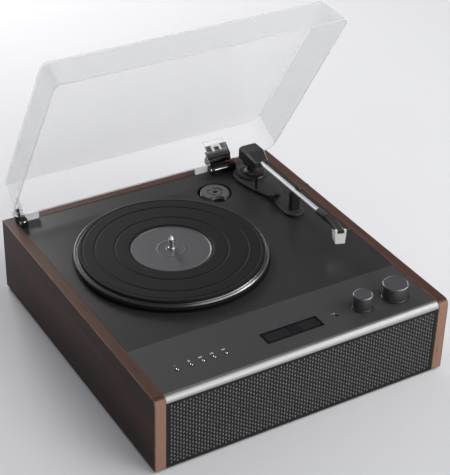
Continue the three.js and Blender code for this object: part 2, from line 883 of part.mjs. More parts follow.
function motor() {
  const top = wellUnder;
  const body = rod(motorRadius, top - motorLength, top, motorX, motorY, roundMid);
  const boss = rod(motorBossRadius - beltGap, top - overrun, wellTop + motorBossRise,
    motorX, motorY, roundSmall);
  const shaftRoom = rod(motorShaftRadius + runningFit, top - motorShaftDepth, deckZ, motorX, motorY,
    roundSmall);
  return cut(join(body, boss), shaftRoom);
}

function pulley() {
  const rim = pulleyRadius + pulleyFlange;
  const z1 = pulleyZ0 + pulleyHeight;
  return turn([
    [0, wellUnder - motorShaftDepth + beltGap], [motorShaftRadius, wellUnder - motorShaftDepth + beltGap],
    [motorShaftRadius, pulleyZ0], [rim, pulleyZ0], [rim, pulleyZ0 + pulleyFlangeThick],
    [pulleyRadius, pulleyZ0 + pulleyFlangeThick], [pulleyRadius, z1 - pulleyFlangeThick],
    [rim, z1 - pulleyFlangeThick], [rim, z1], [0, z1],
  ], motorX, motorY, roundSmall);
}

// The loop of an open belt round two circles, as a Shape, at a radius offset.
function beltLoop(offset) {
  const big = driveRingRadius + offset;
  const small = pulleyRadius + offset;
  const toMotor = motorAngle * degree;
  const spread = Math.acos((big - small) / motorDistance);
  const loop = new THREE.Shape();
  loop.absarc(platterX, platterY, big, toMotor + spread, toMotor - spread + 2 * Math.PI, false);
  loop.absarc(motorX, motorY, small, toMotor - spread, toMotor + spread, false);
  return loop;
}

function belt() {
  const outer = raise(beltLoop(beltGap + beltThick), beltZ0, beltZ0 + beltHeight, roundMid);
  const inner = raise(beltLoop(beltGap), beltZ0 - overrun, beltZ0 + beltHeight + overrun, roundMid);
  return cut(outer, inner);
}

piece('motor', motor(), satinMetal);
piece('motor_pulley', pulley(), brass);
piece('drive_belt', belt(), rubberBlack);

// Adapter

function adapter() {
  const z0 = deckZ - recessDepth;
  const hole = spindleRadius + adapterHoleGap;
  const body = turn([
    [hole, z0], [adapterRadius, z0], [adapterRadius, z0 + adapterFlange],
    [adapterBossRadius, z0 + adapterFlange],
    [adapterBossRadius, z0 + adapterThick], [hole, z0 + adapterThick],
  ], adapterX, adapterY, roundMid);
  const groove = turn([
    [adapterSpokeInner, z0 + adapterThick - adapterSpokeDepth],
    [adapterSpokeRadius, z0 + adapterThick - adapterSpokeDepth],
    [adapterSpokeRadius, z0 + adapterThick + overrun], [adapterSpokeInner, z0 + adapterThick + overrun],
  ], adapterX, adapterY, roundMid);
  return cut(body, groove);
}

piece('single_adapter', adapter(), greyPlastic);

// Knobs, encoders, buttons, display and their board

function knob(x, radius) {
  const z0 = deckZ - knobRecessDepth + knobFloat;
  const z1 = deckZ + knobHeight;
  const under = z1 - knobCap;
  return turn([
    [0, deckUnder - knobStemDepth], [knobStemRadius, deckUnder - knobStemDepth],
    [knobStemRadius, deckZ + knobFloat], [knobBossRadius, deckZ + knobFloat], [knobBossRadius, under],
    [radius - knobSkirtWall, under], [radius - knobSkirtWall, z0], [radius, z0], [radius, z1 - knobBevel],
    [radius - knobBevel, z1], [radius - knobBevel - knobDish, z1 - knobDish], [0, z1 - knobDish],
  ], x, controlFromFront, roundMid);
}

function encoder(x) {
  const half = encoderSize / 2;
  const top = deckUnder;
  const body = box(x - half, x + half, controlFromFront - half, controlFromFront + half, boardTop,
    boardTop + encoderHeight);
  const bush = rod(encoderBushRadius, boardTop, top, x, controlFromFront, roundSmall);
  const bore = rod(knobStemRadius + runningFit, deckUnder - knobStemDepth - overrun / 2, top + overrun, x,
    controlFromFront, roundMid);
  return cut(join(body, bush), bore);
}

function button(x) {
  const flangeTop = deckUnder;
  const top = deckZ + buttonRise;
  const foot = boardTop + switchHeight + buttonTravel;
  return turn([
    [0, foot], [buttonRadius, foot], [buttonRadius, flangeTop - buttonFlangeThick],
    [buttonFlangeRadius, flangeTop - buttonFlangeThick], [buttonFlangeRadius, flangeTop],
    [buttonRadius, flangeTop], [buttonRadius, top - buttonDome], [buttonRadius - buttonDome, top], [0, top],
  ], x, controlFromFront, roundTiny);
}

function controlBoard() {
  const y0 = boardFromFront;
  const y1 = boardFromFront + boardDepth;
  const board = box(-boardHalf, boardHalf, y0, y1, boardTop - boardThick, boardTop);
  const posts = [];
  for (const x of [-boardHalf + boardPostInset, boardHalf - boardPostInset]) {
    for (const y of [y0 + boardPostInset, y1 - boardPostInset]) {
      posts.push(rod(boardPostRadius, boardTop - overrun, deckUnder, x, y, roundTiny));
    }
  }
  const switches = buttonXs.map((x) =>
    rod(switchRadius, boardTop - overrun, boardTop + switchHeight, x, controlFromFront, roundTiny));
  const eye = rod(sensorRadius - buttonGap, boardTop - overrun, deckZ - buttonGap, sensorX, controlFromFront,
    roundTiny);
  return join(board, posts, switches, eye);
}

function displayLens() {
  const lens = box(displayX0 + lensInset, displayX1 - lensInset, displayY0 + lensInset, displayY1 - lensInset,
    deckUnder - lensLipThick, deckZ - lensInset);
  const lip = box(displayX0 - lensLip, displayX1 + lensLip, displayY0 - lensLip, displayY1 + lensLip,
    deckUnder - lensLipThick, deckUnder);
  return join(lens, lip);
}

for (const [use, x, radius] of knobs) {
  piece(`knob_${use}`, knob(x, radius), darkMetal);
  piece(`encoder_${use}`, encoder(x), greyPlastic);
}
buttonXs.forEach((x, i) => piece(`button_${i + 1}`, button(x), chrome));
piece('control_board', controlBoard(), boardGreen);
piece('display_lens', displayLens(), blackPlastic);

// Main board and the sockets at the back

function mainBoard() {
  const x0 = mainBoardX - mainBoardWidth / 2;
  const x1 = mainBoardX + mainBoardWidth / 2;
  const y1 = caseDepth - mainBoardFromBack;
  const y0 = y1 - mainBoardDepth;
  const z0 = floorZ + floorThick + mainBoardRise;
  const z1 = z0 + boardThick;
  const parts = [box(x0, x1, y0, y1, z0, z1)];
  for (const x of [x0 + boardPostInset, x1 - boardPostInset]) {
    for (const y of [y0 + boardPostInset, y1 - boardPostInset]) {
      parts.push(rod(boardPostRadius, floorZ + floorThick, z1, x, y, roundTiny));
    }
  }
  const tx = x0 + transformerSize;
  const ty = (y0 + y1) / 2;
  parts.push(box(tx - transformerSize / 2, tx + transformerSize / 2, ty - transformerSize / 2,
    ty + transformerSize / 2, z0, z1 + transformerHeight));
  for (const step of [0, 1]) {
    parts.push(rod(capacitorRadius, z0, z1 + capacitorHeight,
      tx + transformerSize + step * capacitorSpacing, ty, roundTiny));
  }
  const hx = x1 - heatsinkLength / 2 - boardPostInset;
  const hy = y0 + boardPostInset * 2;
  for (let i = 0; i < heatsinkFins; i += 1) {
    const y = hy + i * heatsinkPitch;
    parts.push(box(hx - heatsinkLength / 2, hx + heatsinkLength / 2 - boardPostInset, y,
      y + heatsinkFinWall, z0, z1 + heatsinkHeight));
  }
  return join(parts);
}

const socketZ = (plateZ0 + plateZ1) / 2;
const plateBack = caseDepth;
const plateFront = caseDepth - socketPlateThick;
const inletX = socketPlateX + inletOffset;
const jackXs = [0, 1].map((i) => socketPlateX + jackOffset - jackSpacing / 2 + i * jackSpacing);

function socketPlate() {
  const plate = box(plateX0, plateX1, plateFront, plateBack, plateZ0, plateZ1);
  const holes = [
    box(inletX - inletWidth / 2, inletX + inletWidth / 2, plateFront - overrun, plateBack + overrun,
      socketZ - inletHeight / 2, socketZ + inletHeight / 2),
    ...jackXs.map((x) => rodAlongY(jackCollarRadius, plateFront - overrun, plateBack + overrun, x, socketZ,
      roundSmall)),
  ];
  return cut(plate, holes);
}

function inlet() {
  const w = inletWidth / 2 - socketGap;
  const h = inletHeight / 2 - socketGap;
  const back = plateBack + inletRim;
  const body = box(inletX - w, inletX + w, back - inletDepth, back, socketZ - h, socketZ + h);
  const r = inletCavityHeight / 2;
  const cavity = roundedRect(inletX - inletCavityWidth / 2, inletX + inletCavityWidth / 2, socketZ - r,
    socketZ + r, r - socketGap);
  const pins = [-1, 1].map((side) => rodAlongY(inletPinRadius, back - inletCavityDepth - overrun,
    back - inletRim, inletX + side * inletPinSpacing / 2, socketZ, roundTiny));
  return join(cut(body, stretchAlongY(cavity, back - inletCavityDepth, back + overrun)), pins);
}

function phonoJacks() {
  const half = jackSpacing;
  const body = box(socketPlateX + jackOffset - half, socketPlateX + jackOffset + half,
    plateFront - jackBodyDepth, plateFront, socketZ - jackBodyHeight / 2, socketZ + jackBodyHeight / 2);
  const collars = jackXs.map((x) => rodAlongY(jackCollarRadius - socketGap, plateFront - overrun,
    plateBack + jackCollarRise, x, socketZ, roundSmall));
  const bores = jackXs.map((x) => rodAlongY(jackPinRadius, plateFront - jackCollarRise,
    plateBack + jackCollarRise + overrun, x, socketZ, roundTiny));
  return cut(join(body, collars), bores);
}

piece('main_board', mainBoard(), boardGreen);
piece('socket_plate', socketPlate(), blackPlastic);
piece('power_inlet', inlet(), blackPlastic);
piece('phono_jacks', phonoJacks(), brass);

// Tonearm

// The raised plinth runs from a round pad under the arm to a smaller pad under the rest.
function plinth() {
  const shape = new THREE.Shape();
  const waistY = (armY + restY) / 2 - plinthPadRadius;
  shape.absarc(armX, armY, plinthRadius, 0, Math.PI);
  shape.quadraticCurveTo(armX - plinthRadius, armY - plinthRadius, armX - plinthWaist, waistY);
  shape.quadraticCurveTo(armX - plinthPadRadius, restY + plinthPadRadius, armX - plinthPadRadius, restY);
  shape.absarc(armX, restY, plinthPadRadius, Math.PI, 2 * Math.PI);
  shape.quadraticCurveTo(armX + plinthPadRadius, restY + plinthPadRadius, armX + plinthWaist, waistY);
  shape.quadraticCurveTo(armX + plinthRadius, armY - plinthRadius, armX + plinthRadius, armY);
  const base = raise(shape, deckZ, plinthTop, roundTiny);
  const turret = turn([
    [0, plinthTop - overrun], [turretRadius, plinthTop - overrun], [turretRadius, plinthTop + turretRise / 2],
    [turretRadius - turretRise / 2, plinthTop + turretRise], [0, plinthTop + turretRise],
  ], armX, armY, roundMid);
  const liftBoss = rod(liftBossRadius, deckZ, plinthTop, liftX, liftY, roundSmall);
  const lugs = [-1, 1].map((side) => {
    const x = leverX + side * (leverWidth / 2 + hingeGap + leverLugWidth / 2);
    return join(
      box(x - leverLugWidth / 2, x + leverLugWidth / 2, leverY - leverLugWidth, leverY + leverLugWidth,
        plinthTop - overrun, plinthTop + leverLugHeight - leverLugWidth),
      rodAlongX(leverLugWidth, x - leverLugWidth / 2, x + leverLugWidth / 2, leverY,
        plinthTop + leverLugHeight - leverLugWidth, roundSmall),
    );
  });
  const holes = [
    rod(yokePostRadius + runningFit, deckZ - overrun, plinthTop + turretRise + overrun, armX, armY, roundMid),
    rod(liftStemRadius + runningFit, deckZ - overrun, plinthTop + overrun, liftX, liftY, roundSmall),
    rodAlongX(leverPinRadius + runningFit, leverX - leverWidth * 2, leverX + leverWidth * 2, leverY,
      plinthTop + leverLugHeight - leverLugWidth, roundSmall),
  ];
  return cut(join(base, turret, liftBoss, lugs), holes);
}

// The yoke turns in the plinth and carries the arm between two ears.
function yoke() {
  const collar = plinthTop + turretRise + runningFit;
  const bridge = armZ - earTop * 2 - yokeBridgeThick;
  const post = turn([
    [0, deckZ - yokePostDepth], [yokePostRadius, deckZ - yokePostDepth], [yokePostRadius, collar],
    [yokeCollarRadius, collar], [yokeCollarRadius, collar + yokeCollarThick],
    [yokeNeckRadius, collar + yokeCollarThick * 2], [yokeNeckRadius, bridge + overrun], [0, bridge + overrun],
  ], armX, armY, roundMid);
  const plate = box(armX - yokeHalf, armX + yokeHalf, armY - earDepth / 2, armY + earDepth / 2, bridge,
    bridge + yokeBridgeThick);
  const ears = [-1, 1].map((side) => {
    const x = armX + side * (yokeHalf - earThick / 2);
    return join(
      box(x - earThick / 2, x + earThick / 2, armY - earDepth / 2, armY + earDepth / 2, bridge, armZ),
      rodAlongX(earDepth / 2, x - earThick / 2, x + earThick / 2, armY, armZ, roundSmall),
    );
  });
  const trunnions = [-1, 1].map((side) => {
    const inner = armX + side * (yokeHalf - earThick / 2);
    const outer = armX + side * trunnionReach;
    return rodAlongX(trunnionRadius, Math.min(inner, outer), Math.max(inner, outer), armY, armZ, roundSmall);
  });
  return join(post, plate, ears, trunnions);
}

// A cross-section of the housing: a rectangle with its upper corners chamfered.
function housingRing(y, half, top, bottom, chamfer) {
  return [
    [armX - half, y, armZ - bottom], [armX + half, y, armZ - bottom],
    [armX + half, y, armZ + top - chamfer], [armX + half - chamfer, y, armZ + top],
    [armX - half + chamfer, y, armZ + top], [armX - half, y, armZ + top - chamfer],
  ];
}

function housingSkin(inset, bottom) {
  const chamfer = housingChamfer;
  return loft([
    housingRing(armY - housingNose + inset, housingNoseHalf - inset, housingNoseTop - inset, bottom,
      chamfer / 2),
    housingRing(armY - housingShoulder + inset / 2, housingHalf - inset, housingTop - inset, bottom, chamfer),
    housingRing(armY + housingBack - housingBackChamfer, housingHalf - inset, housingTop - inset, bottom,
      chamfer),
    housingRing(armY + housingBack - inset, housingHalf - housingBackChamfer - inset / 2,
      housingTop - housingBackChamfer / 2 - inset, bottom, chamfer),
  ]);
}

function housing() {
  const shell = cut(housingSkin(0, housingBottom), housingSkin(housingWall, housingBottom + overrun));
  const block = box(armX - housingBlockHalf, armX + housingBlockHalf, armY - housingBlockFront,
    armY + housingBlockBack, armZ - housingBottom, armZ + housingNoseTop);
  const rib = box(armX - housingBlockHalf / 2, armX + housingBlockHalf / 2, armY - housingShoulder,
    armY + housingBlockBack, armZ, armZ + housingTop - housingWall / 2);
  const noseRib = box(armX - housingBlockHalf, armX + housingBlockHalf, armY - housingNose + housingWall / 2,
    armY - housingBlockFront + overrun, armZ - housingBottom, armZ + housingNoseTop - housingWall);
  const inside = housingSkin(housingWall / 2, housingBottom);
  const core = join(block, rib, noseRib).intersect(inside);
  const tubeHole = rodAlongY(tubeRadius + runningFit, armY - housingNose - overrun, armY + housingBack / 2,
    armX, armZ, roundSmall);
  const pinHole = rodAlongX(trunnionRadius + runningFit, armX - trunnionReach - runningFit,
    armX + trunnionReach + runningFit, armY, armZ, roundSmall);
  return cut(join(shell, core), tubeHole, pinHole);
}

function armTube() {
  return turnAlongY([
    [tubeBore, armY - tubeReach], [tubeRadius, armY - tubeReach], [tubeRadius, armY + tubeTail],
    [tubeBore, armY + tubeTail],
  ], armX, armZ, roundSmall);
}

function counterweight() {
  const y0 = armY + tubeTail - counterLength;
  const weight = rodAlongY(counterRadius, y0 + runningFit, armY + tubeTail, armX, armZ, roundMid);
  const bore = rodAlongY(tubeRadius + runningFit, y0 - overrun, armY + tubeTail + overrun, armX, armZ,
    roundSmall);
  return cut(weight, bore);
}

// A point of the headshell's own frame: along its slanted axis, across it, and up.
const noseX = armX + headshellSide;
const noseY = armY - headshellReach;
const slant = headshellAngle * degree;
function shellPoint(back, across, z) {
  return [
    noseX + back * Math.sin(slant) + across * Math.cos(slant),
    noseY + back * Math.cos(slant) - across * Math.sin(slant),
    z,
  ];
}

function slantedBox(back0, back1, across0, across1, z0, z1) {
  const ring = (z) => [
    shellPoint(back0, across0, z), shellPoint(back0, across1, z),
    shellPoint(back1, across1, z), shellPoint(back1, across0, z),
  ];
  return loft([ring(z0), ring(z1)]);
}

function shellRing(x, y, turnBy, width, top, bottom) {
  const c = headshellChamfer;
  const place = (a, z) => [x + a * Math.cos(turnBy), y - a * Math.sin(turnBy), armZ + z];
  const w = width / 2;
  return [
    place(-w + c, -bottom), place(w - c, -bottom), place(w, -bottom + c), place(w, top - c),
    place(w - c, top), place(-w + c, top), place(-w, top - c), place(-w, -bottom + c),
  ];
}

function headshell() {
  const rootY = armY - tubeReach;
  const frontY = rootY - headshellFerrule;
  const ferrule = rodAlongY(headshellFerruleRadius, frontY, rootY + headshellSpigot, armX, armZ, roundSmall);
  const socket = rodAlongY(tubeRadius + runningFit, rootY - runningFit, rootY + headshellSpigot + overrun,
    armX, armZ, roundSmall);
  const shell = loft([
    shellRing(noseX, noseY, slant, headshellNoseWidth, headshellTopRise, headshellNoseDrop),
    shellRing(armX + headshellBendSide, armY - headshellBendReach, slant / 2, headshellBendWidth,
      headshellTopRise, headshellBendDrop),
    shellRing(armX, frontY + headshellChamfer, 0, headshellRootWidth, headshellRootHalf, headshellRootHalf),
  ]);
  const lift = slantedBox(fingerBack, fingerBack + fingerWidth, 0, headshellNoseWidth / 2 + fingerLength,
    armZ - fingerWall / 2, armZ + fingerWall / 2);
  return cut(join(ferrule, shell, lift), socket);
}

function cartridge() {
  const w = cartridgeWidth / 2;
  const bottom = armZ - cartridgeDrop;
  const under = armZ - headshellBendDrop - cartridgeGap;
  const ring = (z, half, front, back) => [
    shellPoint(front, -half, z), shellPoint(front, half, z),
    shellPoint(back, half, z), shellPoint(back, -half, z),
  ];
  const body = loft([
    ring(bottom, w - cartridgeTaper / 2, 0, cartridgeLength - cartridgeTaper),
    ring(under, w, 0, cartridgeLength),
  ]);
  const inner = headshellNoseWidth / 2 + cartridgeGap;
  const prongBack = fingerBack - cartridgeGap;
  const prongs = [-1, 1].map((side) => slantedBox(0, prongBack, Math.min(side * inner, side * w),
    Math.max(side * inner, side * w), under - overrun, armZ + headshellTopRise + cartridgeProngRise));
  const front = slantedBox(0, prongBack, -w, w, under - overrun, armZ - headshellNoseDrop - cartridgeGap * 2);
  const shellRoom = loft([
    shellRing(noseX, noseY, slant, headshellNoseWidth + cartridgeGap * 2, headshellTopRise + cartridgeGap,
      headshellNoseDrop + cartridgeGap),
    shellRing(armX + headshellBendSide, armY - headshellBendReach, slant / 2,
      headshellBendWidth + cartridgeGap * 2, headshellTopRise + cartridgeGap,
      headshellBendDrop + cartridgeGap),
    shellRing(armX, armY - tubeReach - headshellFerrule, 0, headshellRootWidth + cartridgeGap * 2,
      headshellRootHalf + cartridgeGap, headshellRootHalf + cartridgeGap),
  ]);
  return cut(join(body, prongs, front), shellRoom);
}

function stylus() {
  const top = armZ - cartridgeDrop;
  const bar = slantedBox(cartridgeTaper, cartridgeTaper + stylusLength, -stylusWidth / 2, stylusWidth / 2,
    top - stylusThick, top);
  const [x, y] = shellPoint(stylusTipBack, 0, 0);
  const tip = turn([
    [0, top - stylusThick - stylusTip], [stylusTipRadius, top - stylusThick],
    [stylusTipRadius, top - runningFit],
    [0, top - runningFit],
  ], x, y, roundTiny / 2);
  return join(bar, tip);
}

piece('arm_plinth', plinth(), blackPlastic);
piece('arm_yoke', yoke(), blackPlastic);
piece('arm_housing', housing(), blackPlastic);
piece('arm_tube', armTube(), satinMetal);
piece('counterweight', counterweight(), darkMetal);
piece('headshell', headshell(), blackPlastic);
piece('cartridge', cartridge(), whitePlastic);
piece('stylus', stylus(), whitePlastic);

// Arm rest, clip, cueing lift and lever

const clipPivotX = armX + restSeatHalf + restProngWall / 2;
const clipPivotZ = armZ + restProngRise;
const restFront = restY - restDepth / 2;

function armRest() {
  const seat = armZ - tubeRadius - restGap;
  const post = box(armX - restSeatHalf, armX + restSeatHalf + restProngWall, restFront, restFront + restDepth,
    plinthTop, seat);
  const prong = box(armX + restSeatHalf, armX + restSeatHalf + restProngWall, restFront,
    restFront + restDepth, seat - overrun, clipPivotZ);
  const crown = rodAlongY(restProngWall / 2, restFront, restFront + restDepth, clipPivotX, clipPivotZ,
    roundSmall);
  const pin = rodAlongY(clipPinRadius, restFront - clipPinLength, restFront + overrun, clipPivotX, clipPivotZ,
    roundSmall);
  return join(post, prong, crown, pin);
}

// The clip hooks over the tube when shut; it stands open here, turned about its pin.
function restClip() {
  const front = -clipThick - hingeGap;
  const inner = tubeRadius + clipHookGap;
  const outer = inner + clipWall;
  const hook = new THREE.Shape();
  const dx = armX - clipPivotX;
  const dz = armZ - clipPivotZ;
  const start = clipHookStart * degree;
  const end = clipHookEnd * degree;
  hook.absarc(dx, dz, outer, start, end, false);
  hook.absarc(dx, dz, inner, end, start, true);
  const eye = rodAlongY(clipPinRadius + clipEyeWall, front, front + clipThick, 0, 0, roundSmall);
  const arc = stretchAlongY(hook, front, front + clipThick, roundTiny);
  const bore = rodAlongY(clipPinRadius + runningFit, front - overrun, front + clipThick + overrun, 0, 0,
    roundSmall);
  const room = rodAlongY(inner, front - overrun, front + clipThick + overrun, dx, dz, roundSmall);
  return cut(join(eye, arc), bore, room);
}

function liftBar() {
  const top = armZ - tubeRadius - liftDrop;
  const shape = new THREE.Shape();
  const toAngle = (a) => (-quarterTurn - a) * degree;
  shape.absarc(armX, armY, liftRadius + liftBand / 2, toAngle(liftStart), toAngle(liftEnd), true);
  shape.absarc(armX, armY, liftRadius - liftBand / 2, toAngle(liftEnd), toAngle(liftStart), false);
  const bar = raise(shape, top - liftThick, top, roundTiny);
  const stem = rod(liftStemRadius, deckZ - liftStemDepth, top - liftThick / 2, liftX, liftY, roundSmall);
  return join(bar, stem);
}

function cueLever() {
  const z = plinthTop + leverLugHeight - leverLugWidth;
  const eye = rodAlongX(leverLugWidth - hingeGap, leverX - leverWidth / 2, leverX + leverWidth / 2, leverY, z,
    roundSmall);
  const reach = (along, up) => [
    leverY - along * Math.cos(leverAngle * degree) - up * Math.sin(leverAngle * degree),
    z + along * Math.sin(leverAngle * degree) - up * Math.cos(leverAngle * degree),
  ];
  const arm = stretch(outline([
    reach(0, leverThick / 2), reach(leverLength, leverThick / 2), reach(leverLength, -leverThick / 2),
    reach(0, -leverThick / 2),
  ]), leverX - leverWidth / 2, leverX + leverWidth / 2);
  const [ky, kz] = reach(leverLength, 0);
  const grip = rodAlongX(leverKnobRadius, leverX - leverWidth / 2, leverX + leverWidth / 2, ky, kz,
    roundSmall);
  const pin = rodAlongX(leverPinRadius, leverX - leverWidth / 2 - hingeGap - leverLugWidth,
    leverX + leverWidth / 2 + hingeGap + leverLugWidth, leverY, z, roundSmall);
  return join(eye, arm, grip, pin);
}

const clipGroup = new THREE.Group();
clipGroup.position.set(clipPivotX, restFront, clipPivotZ);
clipGroup.rotation.y = clipOpenAngle * degree;
group.add(clipGroup);

piece('arm_rest', armRest(), blackPlastic);
piece('rest_clip', restClip(), greyPlastic, clipGroup);
piece('lift_bar', liftBar(), blackPlastic);
piece('cue_lever', cueLever(), blackPlastic);

// Cover and hinges, in the shut pose, carried by a group turned about the hinge line

const coverGroup = new THREE.Group();
coverGroup.position.set(0, hingeY, hingeZ);
coverGroup.rotation.x = -coverOpenAngle * degree;
group.add(coverGroup);
const hy = (y) => y - hingeY;
const hz = (z) => z - hingeZ;

// A level loop of the cover's wall at a share of its height, inset by a wall thickness.
function coverLoop(rise, inset, round) {
  const share = rise / coverHeight;
  const x = coverWidth / 2 - coverSideDraft * share - inset - round;
  const y0 = coverFront + coverFrontDraft * share + inset + round;
  const y1 = coverBack - coverBackDraft * share - inset - round;
  const corner = (cx, cy, radius, from) => {
    const points = [];
    const r = Math.max(radius - inset - round, coverTopRound / 2);
    const steps = roundTiny / 2;
    for (let i = 0; i <= steps; i += 1) {
      const a = (from + quarterTurn * i / steps) * degree;
      points.push([cx + Math.sign(-cx) * r + r * Math.cos(a), cy + r * Math.sin(a)]);
    }
    return points.map(([px, py]) => [px, py, hz(rimZ + rise)]);
  };
  const rb = Math.max(coverBackRadius - inset - round, coverTopRound / 2);
  const rf = Math.max(coverFrontRadius - inset - round, coverTopRound / 2);
  return [
    ...corner(x, hy(y1) - rb, coverBackRadius, 0),
    ...corner(-x, hy(y1) - rb, coverBackRadius, quarterTurn),
    ...corner(-x, hy(y0) + rf, coverFrontRadius, 2 * quarterTurn),
    ...corner(x, hy(y0) + rf, coverFrontRadius, 3 * quarterTurn),
  ];
}

function coverShell() {
  const soft = coverTopRound * (1 - Math.SQRT1_2);
  const outer = loft([
    coverLoop(0, 0, 0), coverLoop(coverHeight - coverTopRound, 0, 0),
    coverLoop(coverHeight - soft, 0, soft), coverLoop(coverHeight, 0, coverTopRound),
  ]);
  const insideTop = coverHeight - coverWall;
  const innerRound = coverTopRound - coverWall;
  const inner = loft([
    coverLoop(-overrun, coverWall, 0), coverLoop(insideTop - innerRound, coverWall, 0),
    coverLoop(insideTop, coverWall, innerRound),
  ]);
  return cut(outer, inner);
}

// The inner and outer faces of the rear wall at a height above the rim, in the group's frame.
const wallOuter = (rise) => hy(coverBack - coverBackDraft * rise / coverHeight);
const wallInner = (rise) => wallOuter(rise) - coverWall;

const hingeRight0 = hingeRightX - hingeRightWidth / 2;
const hingeRight1 = hingeRightX + hingeRightWidth / 2;
const hingeLeft0 = hingeLeftX - hingeLeftWidth / 2;
const hingeLeft1 = hingeLeftX + hingeLeftWidth / 2;

function cover() {
  const notch = (x0, x1) => box(x0 - notchSide, x1 + notchSide, hy(coverBack) - coverBackRadius / 2,
    hy(coverBack) + overrun, hz(rimZ) - overrun, hz(rimZ) + notchHeight);
  const x0 = hingeRight0 - clipFrameMargin;
  const x1 = hingeRight1 - clipFrameMargin * 2;
  const low = notchHeight + clipFrameWall;
  const high = low + clipFrameHeight;
  const slab = (a, b, c, d, proud) => loft([a, b].map((x) => [
    [x, wallInner(c) + coverWall / 2, hz(rimZ) + c], [x, wallInner(c) - proud, hz(rimZ) + c],
    [x, wallInner(d) - proud, hz(rimZ) + d], [x, wallInner(d) + coverWall / 2, hz(rimZ) + d],
  ]));
  const frame = cut(slab(x0, x1, low, high, clipFrameRise), slab(x0 + clipFrameWall, x1 - clipFrameWall,
    low + clipFrameWall, high - clipFrameWall, clipFrameRise + overrun));
  const notches = [notch(hingeRight0, hingeRight1), notch(-innerHalf, hingeLeft1)];
  const shell = cut(coverShell(), notches);
  return join(shell, frame);
}

// The fixed block stands on the deck and reaches over the rear panel to the hinge line.
function hingeBlock(x0, x1, knuckle0, knuckle1) {
  const block = new THREE.Shape();
  const top = deckZ + hingeBlockHeight;
  block.moveTo(hingeFront, deckZ);
  block.lineTo(hingeBlockBack, deckZ);
  block.lineTo(hingeBlockBack, top);
  block.lineTo(hingeFront + hingeBlockRound, top);
  block.absarc(hingeFront + hingeBlockRound, top - hingeBlockRound, hingeBlockRound, Math.PI / 2, Math.PI);
  const body = stretch(block, x0, x1, roundTiny / 2);
  const neck = stretch(outline([
    [hingeBlockBack - overrun, topZ], [hingeY + hingeRadius / 2, topZ],
    [hingeY + hingeRadius, hingeZ], [hingeY, hingeZ],
    [hingeBlockBack - overrun, topZ + hingeNeckThick],
  ]), knuckle0, knuckle1);
  const knuckle = rodAlongX(hingeRadius, knuckle0, knuckle1, hingeY, hingeZ, roundSmall);
  const pin = rodAlongX(hingePinRadius, x0, x1, hingeY, hingeZ, roundSmall);
  return join(body, neck, knuckle, pin);
}

// The moving leaf: knuckles on the pin and a plate against the cover's outer face.
function hingeLeaf(plate0, plate1, knuckles) {
  const lowRise = hingeZ - rimZ;
  const topRise = notchHeight + leafHeight / 2;
  const face = (rise) => wallOuter(rise) + leafGap;
  const arms = knuckles.map(([a, b]) => {
    const wheel = rodAlongX(hingeRadius, a, b, 0, 0, roundSmall);
    const web = loft([a, b].map((x) => [
      [x, 0, -hingeRadius / 2], [x, 0, hingeRadius], [x, face(lowRise + hingeRadius), hingeRadius],
      [x, face(lowRise), 0],
    ]));
    return join(wheel, web);
  });
  const plate = loft([plate0, plate1].map((x) => [
    [x, face(lowRise), 0], [x, face(lowRise) + leafThick, 0],
    [x, face(topRise) + leafThick, hz(rimZ) + topRise],
    [x, face(topRise), hz(rimZ) + topRise],
  ]));
  const bores = knuckles.map(([a, b]) =>
    rodAlongX(hingePinRadius + runningFit, a - overrun, b + overrun, 0, 0, roundSmall));
  const fixedRoom = knuckles.length > 1
    ? [rodAlongX(hingeRadius + hingeGap, knuckles[0][1], knuckles[1][0], 0, 0, roundSmall)]
    : [rodAlongX(hingeRadius + hingeGap, plate0 - overrun, knuckles[0][0], 0, 0, roundSmall)];
  return cut(join(arms, plate), bores, fixedRoom);
}

// A bent steel clip on the rear wall that holds the cover to the hinge leaf.
function springClip() {
  const x0 = hingeRightX - clipFrameMargin - springClipWidth / 2;
  const x1 = x0 + springClipWidth;
  const low = notchHeight + clipFrameWall * 2 + leafGap;
  const high = low + springClipHeight;
  const strip = (a, b, c, d) => loft([a, b].map((x) => [
    [x, wallInner(c) - leafGap, hz(rimZ) + c], [x, wallInner(c) - leafGap - springClipThick, hz(rimZ) + c],
    [x, wallInner(d) - leafGap - springClipThick, hz(rimZ) + d], [x, wallInner(d) - leafGap, hz(rimZ) + d],
  ]));
  return join(strip(x0, x0 + springClipWall, low, high), strip(x1 - springClipWall, x1, low, high),
    strip(x0, x1, high - springClipWall, high));
}

const right0 = hingeRight0 + hingeKnuckleWidth;
const right1 = hingeRight1 - hingeKnuckleWidth;
piece('cover', cover(), clearPlastic, coverGroup);
piece('hinge_block_right', hingeBlock(hingeRight0, hingeRight1, right0 + hingeGap, right1 - hingeGap),
  blackPlastic);
piece('hinge_leaf_right', hingeLeaf(hingeRight0, hingeRight1, [[hingeRight0, right0], [right1, hingeRight1]]),
  darkMetal, coverGroup);
piece('spring_clip', springClip(), chrome, coverGroup);
const leftSplit = hingeLeft0 + hingeLeftKnuckle;
piece('hinge_block_left', hingeBlock(hingeLeft0, hingeLeft1, hingeLeft0, leftSplit - hingeGap), blackPlastic);
piece('hinge_leaf_left', hingeLeaf(leftSplit, hingeLeft1, [[leftSplit, hingeLeft1]]), darkMetal, coverGroup);

function guidePlate(x) {
  const front = roundedRect(x - guideWidth / 2, x + guideWidth / 2, deckZ, deckZ + guideHeight, guideRadius);
  return stretchAlongY(front, backInner - guideThick, backInner, roundTiny / 4);
}

piece('guide_left', guidePlate(guideLeftX), clearPlastic);
piece('guide_right', guidePlate(guideRightX), clearPlastic);

// The origin lies at the middle of the whole part's bounds, level with the feet.
group.updateMatrixWorld(true);
const bounds = new THREE.Box3().setFromObject(group, true);
const centre = bounds.getCenter(new THREE.Vector3());
for (const child of group.children) {
  child.position.x -= centre.x;
  child.position.y -= centre.y;
}
group.updateMatrixWorld(true);

export default group;
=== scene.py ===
import json
import math

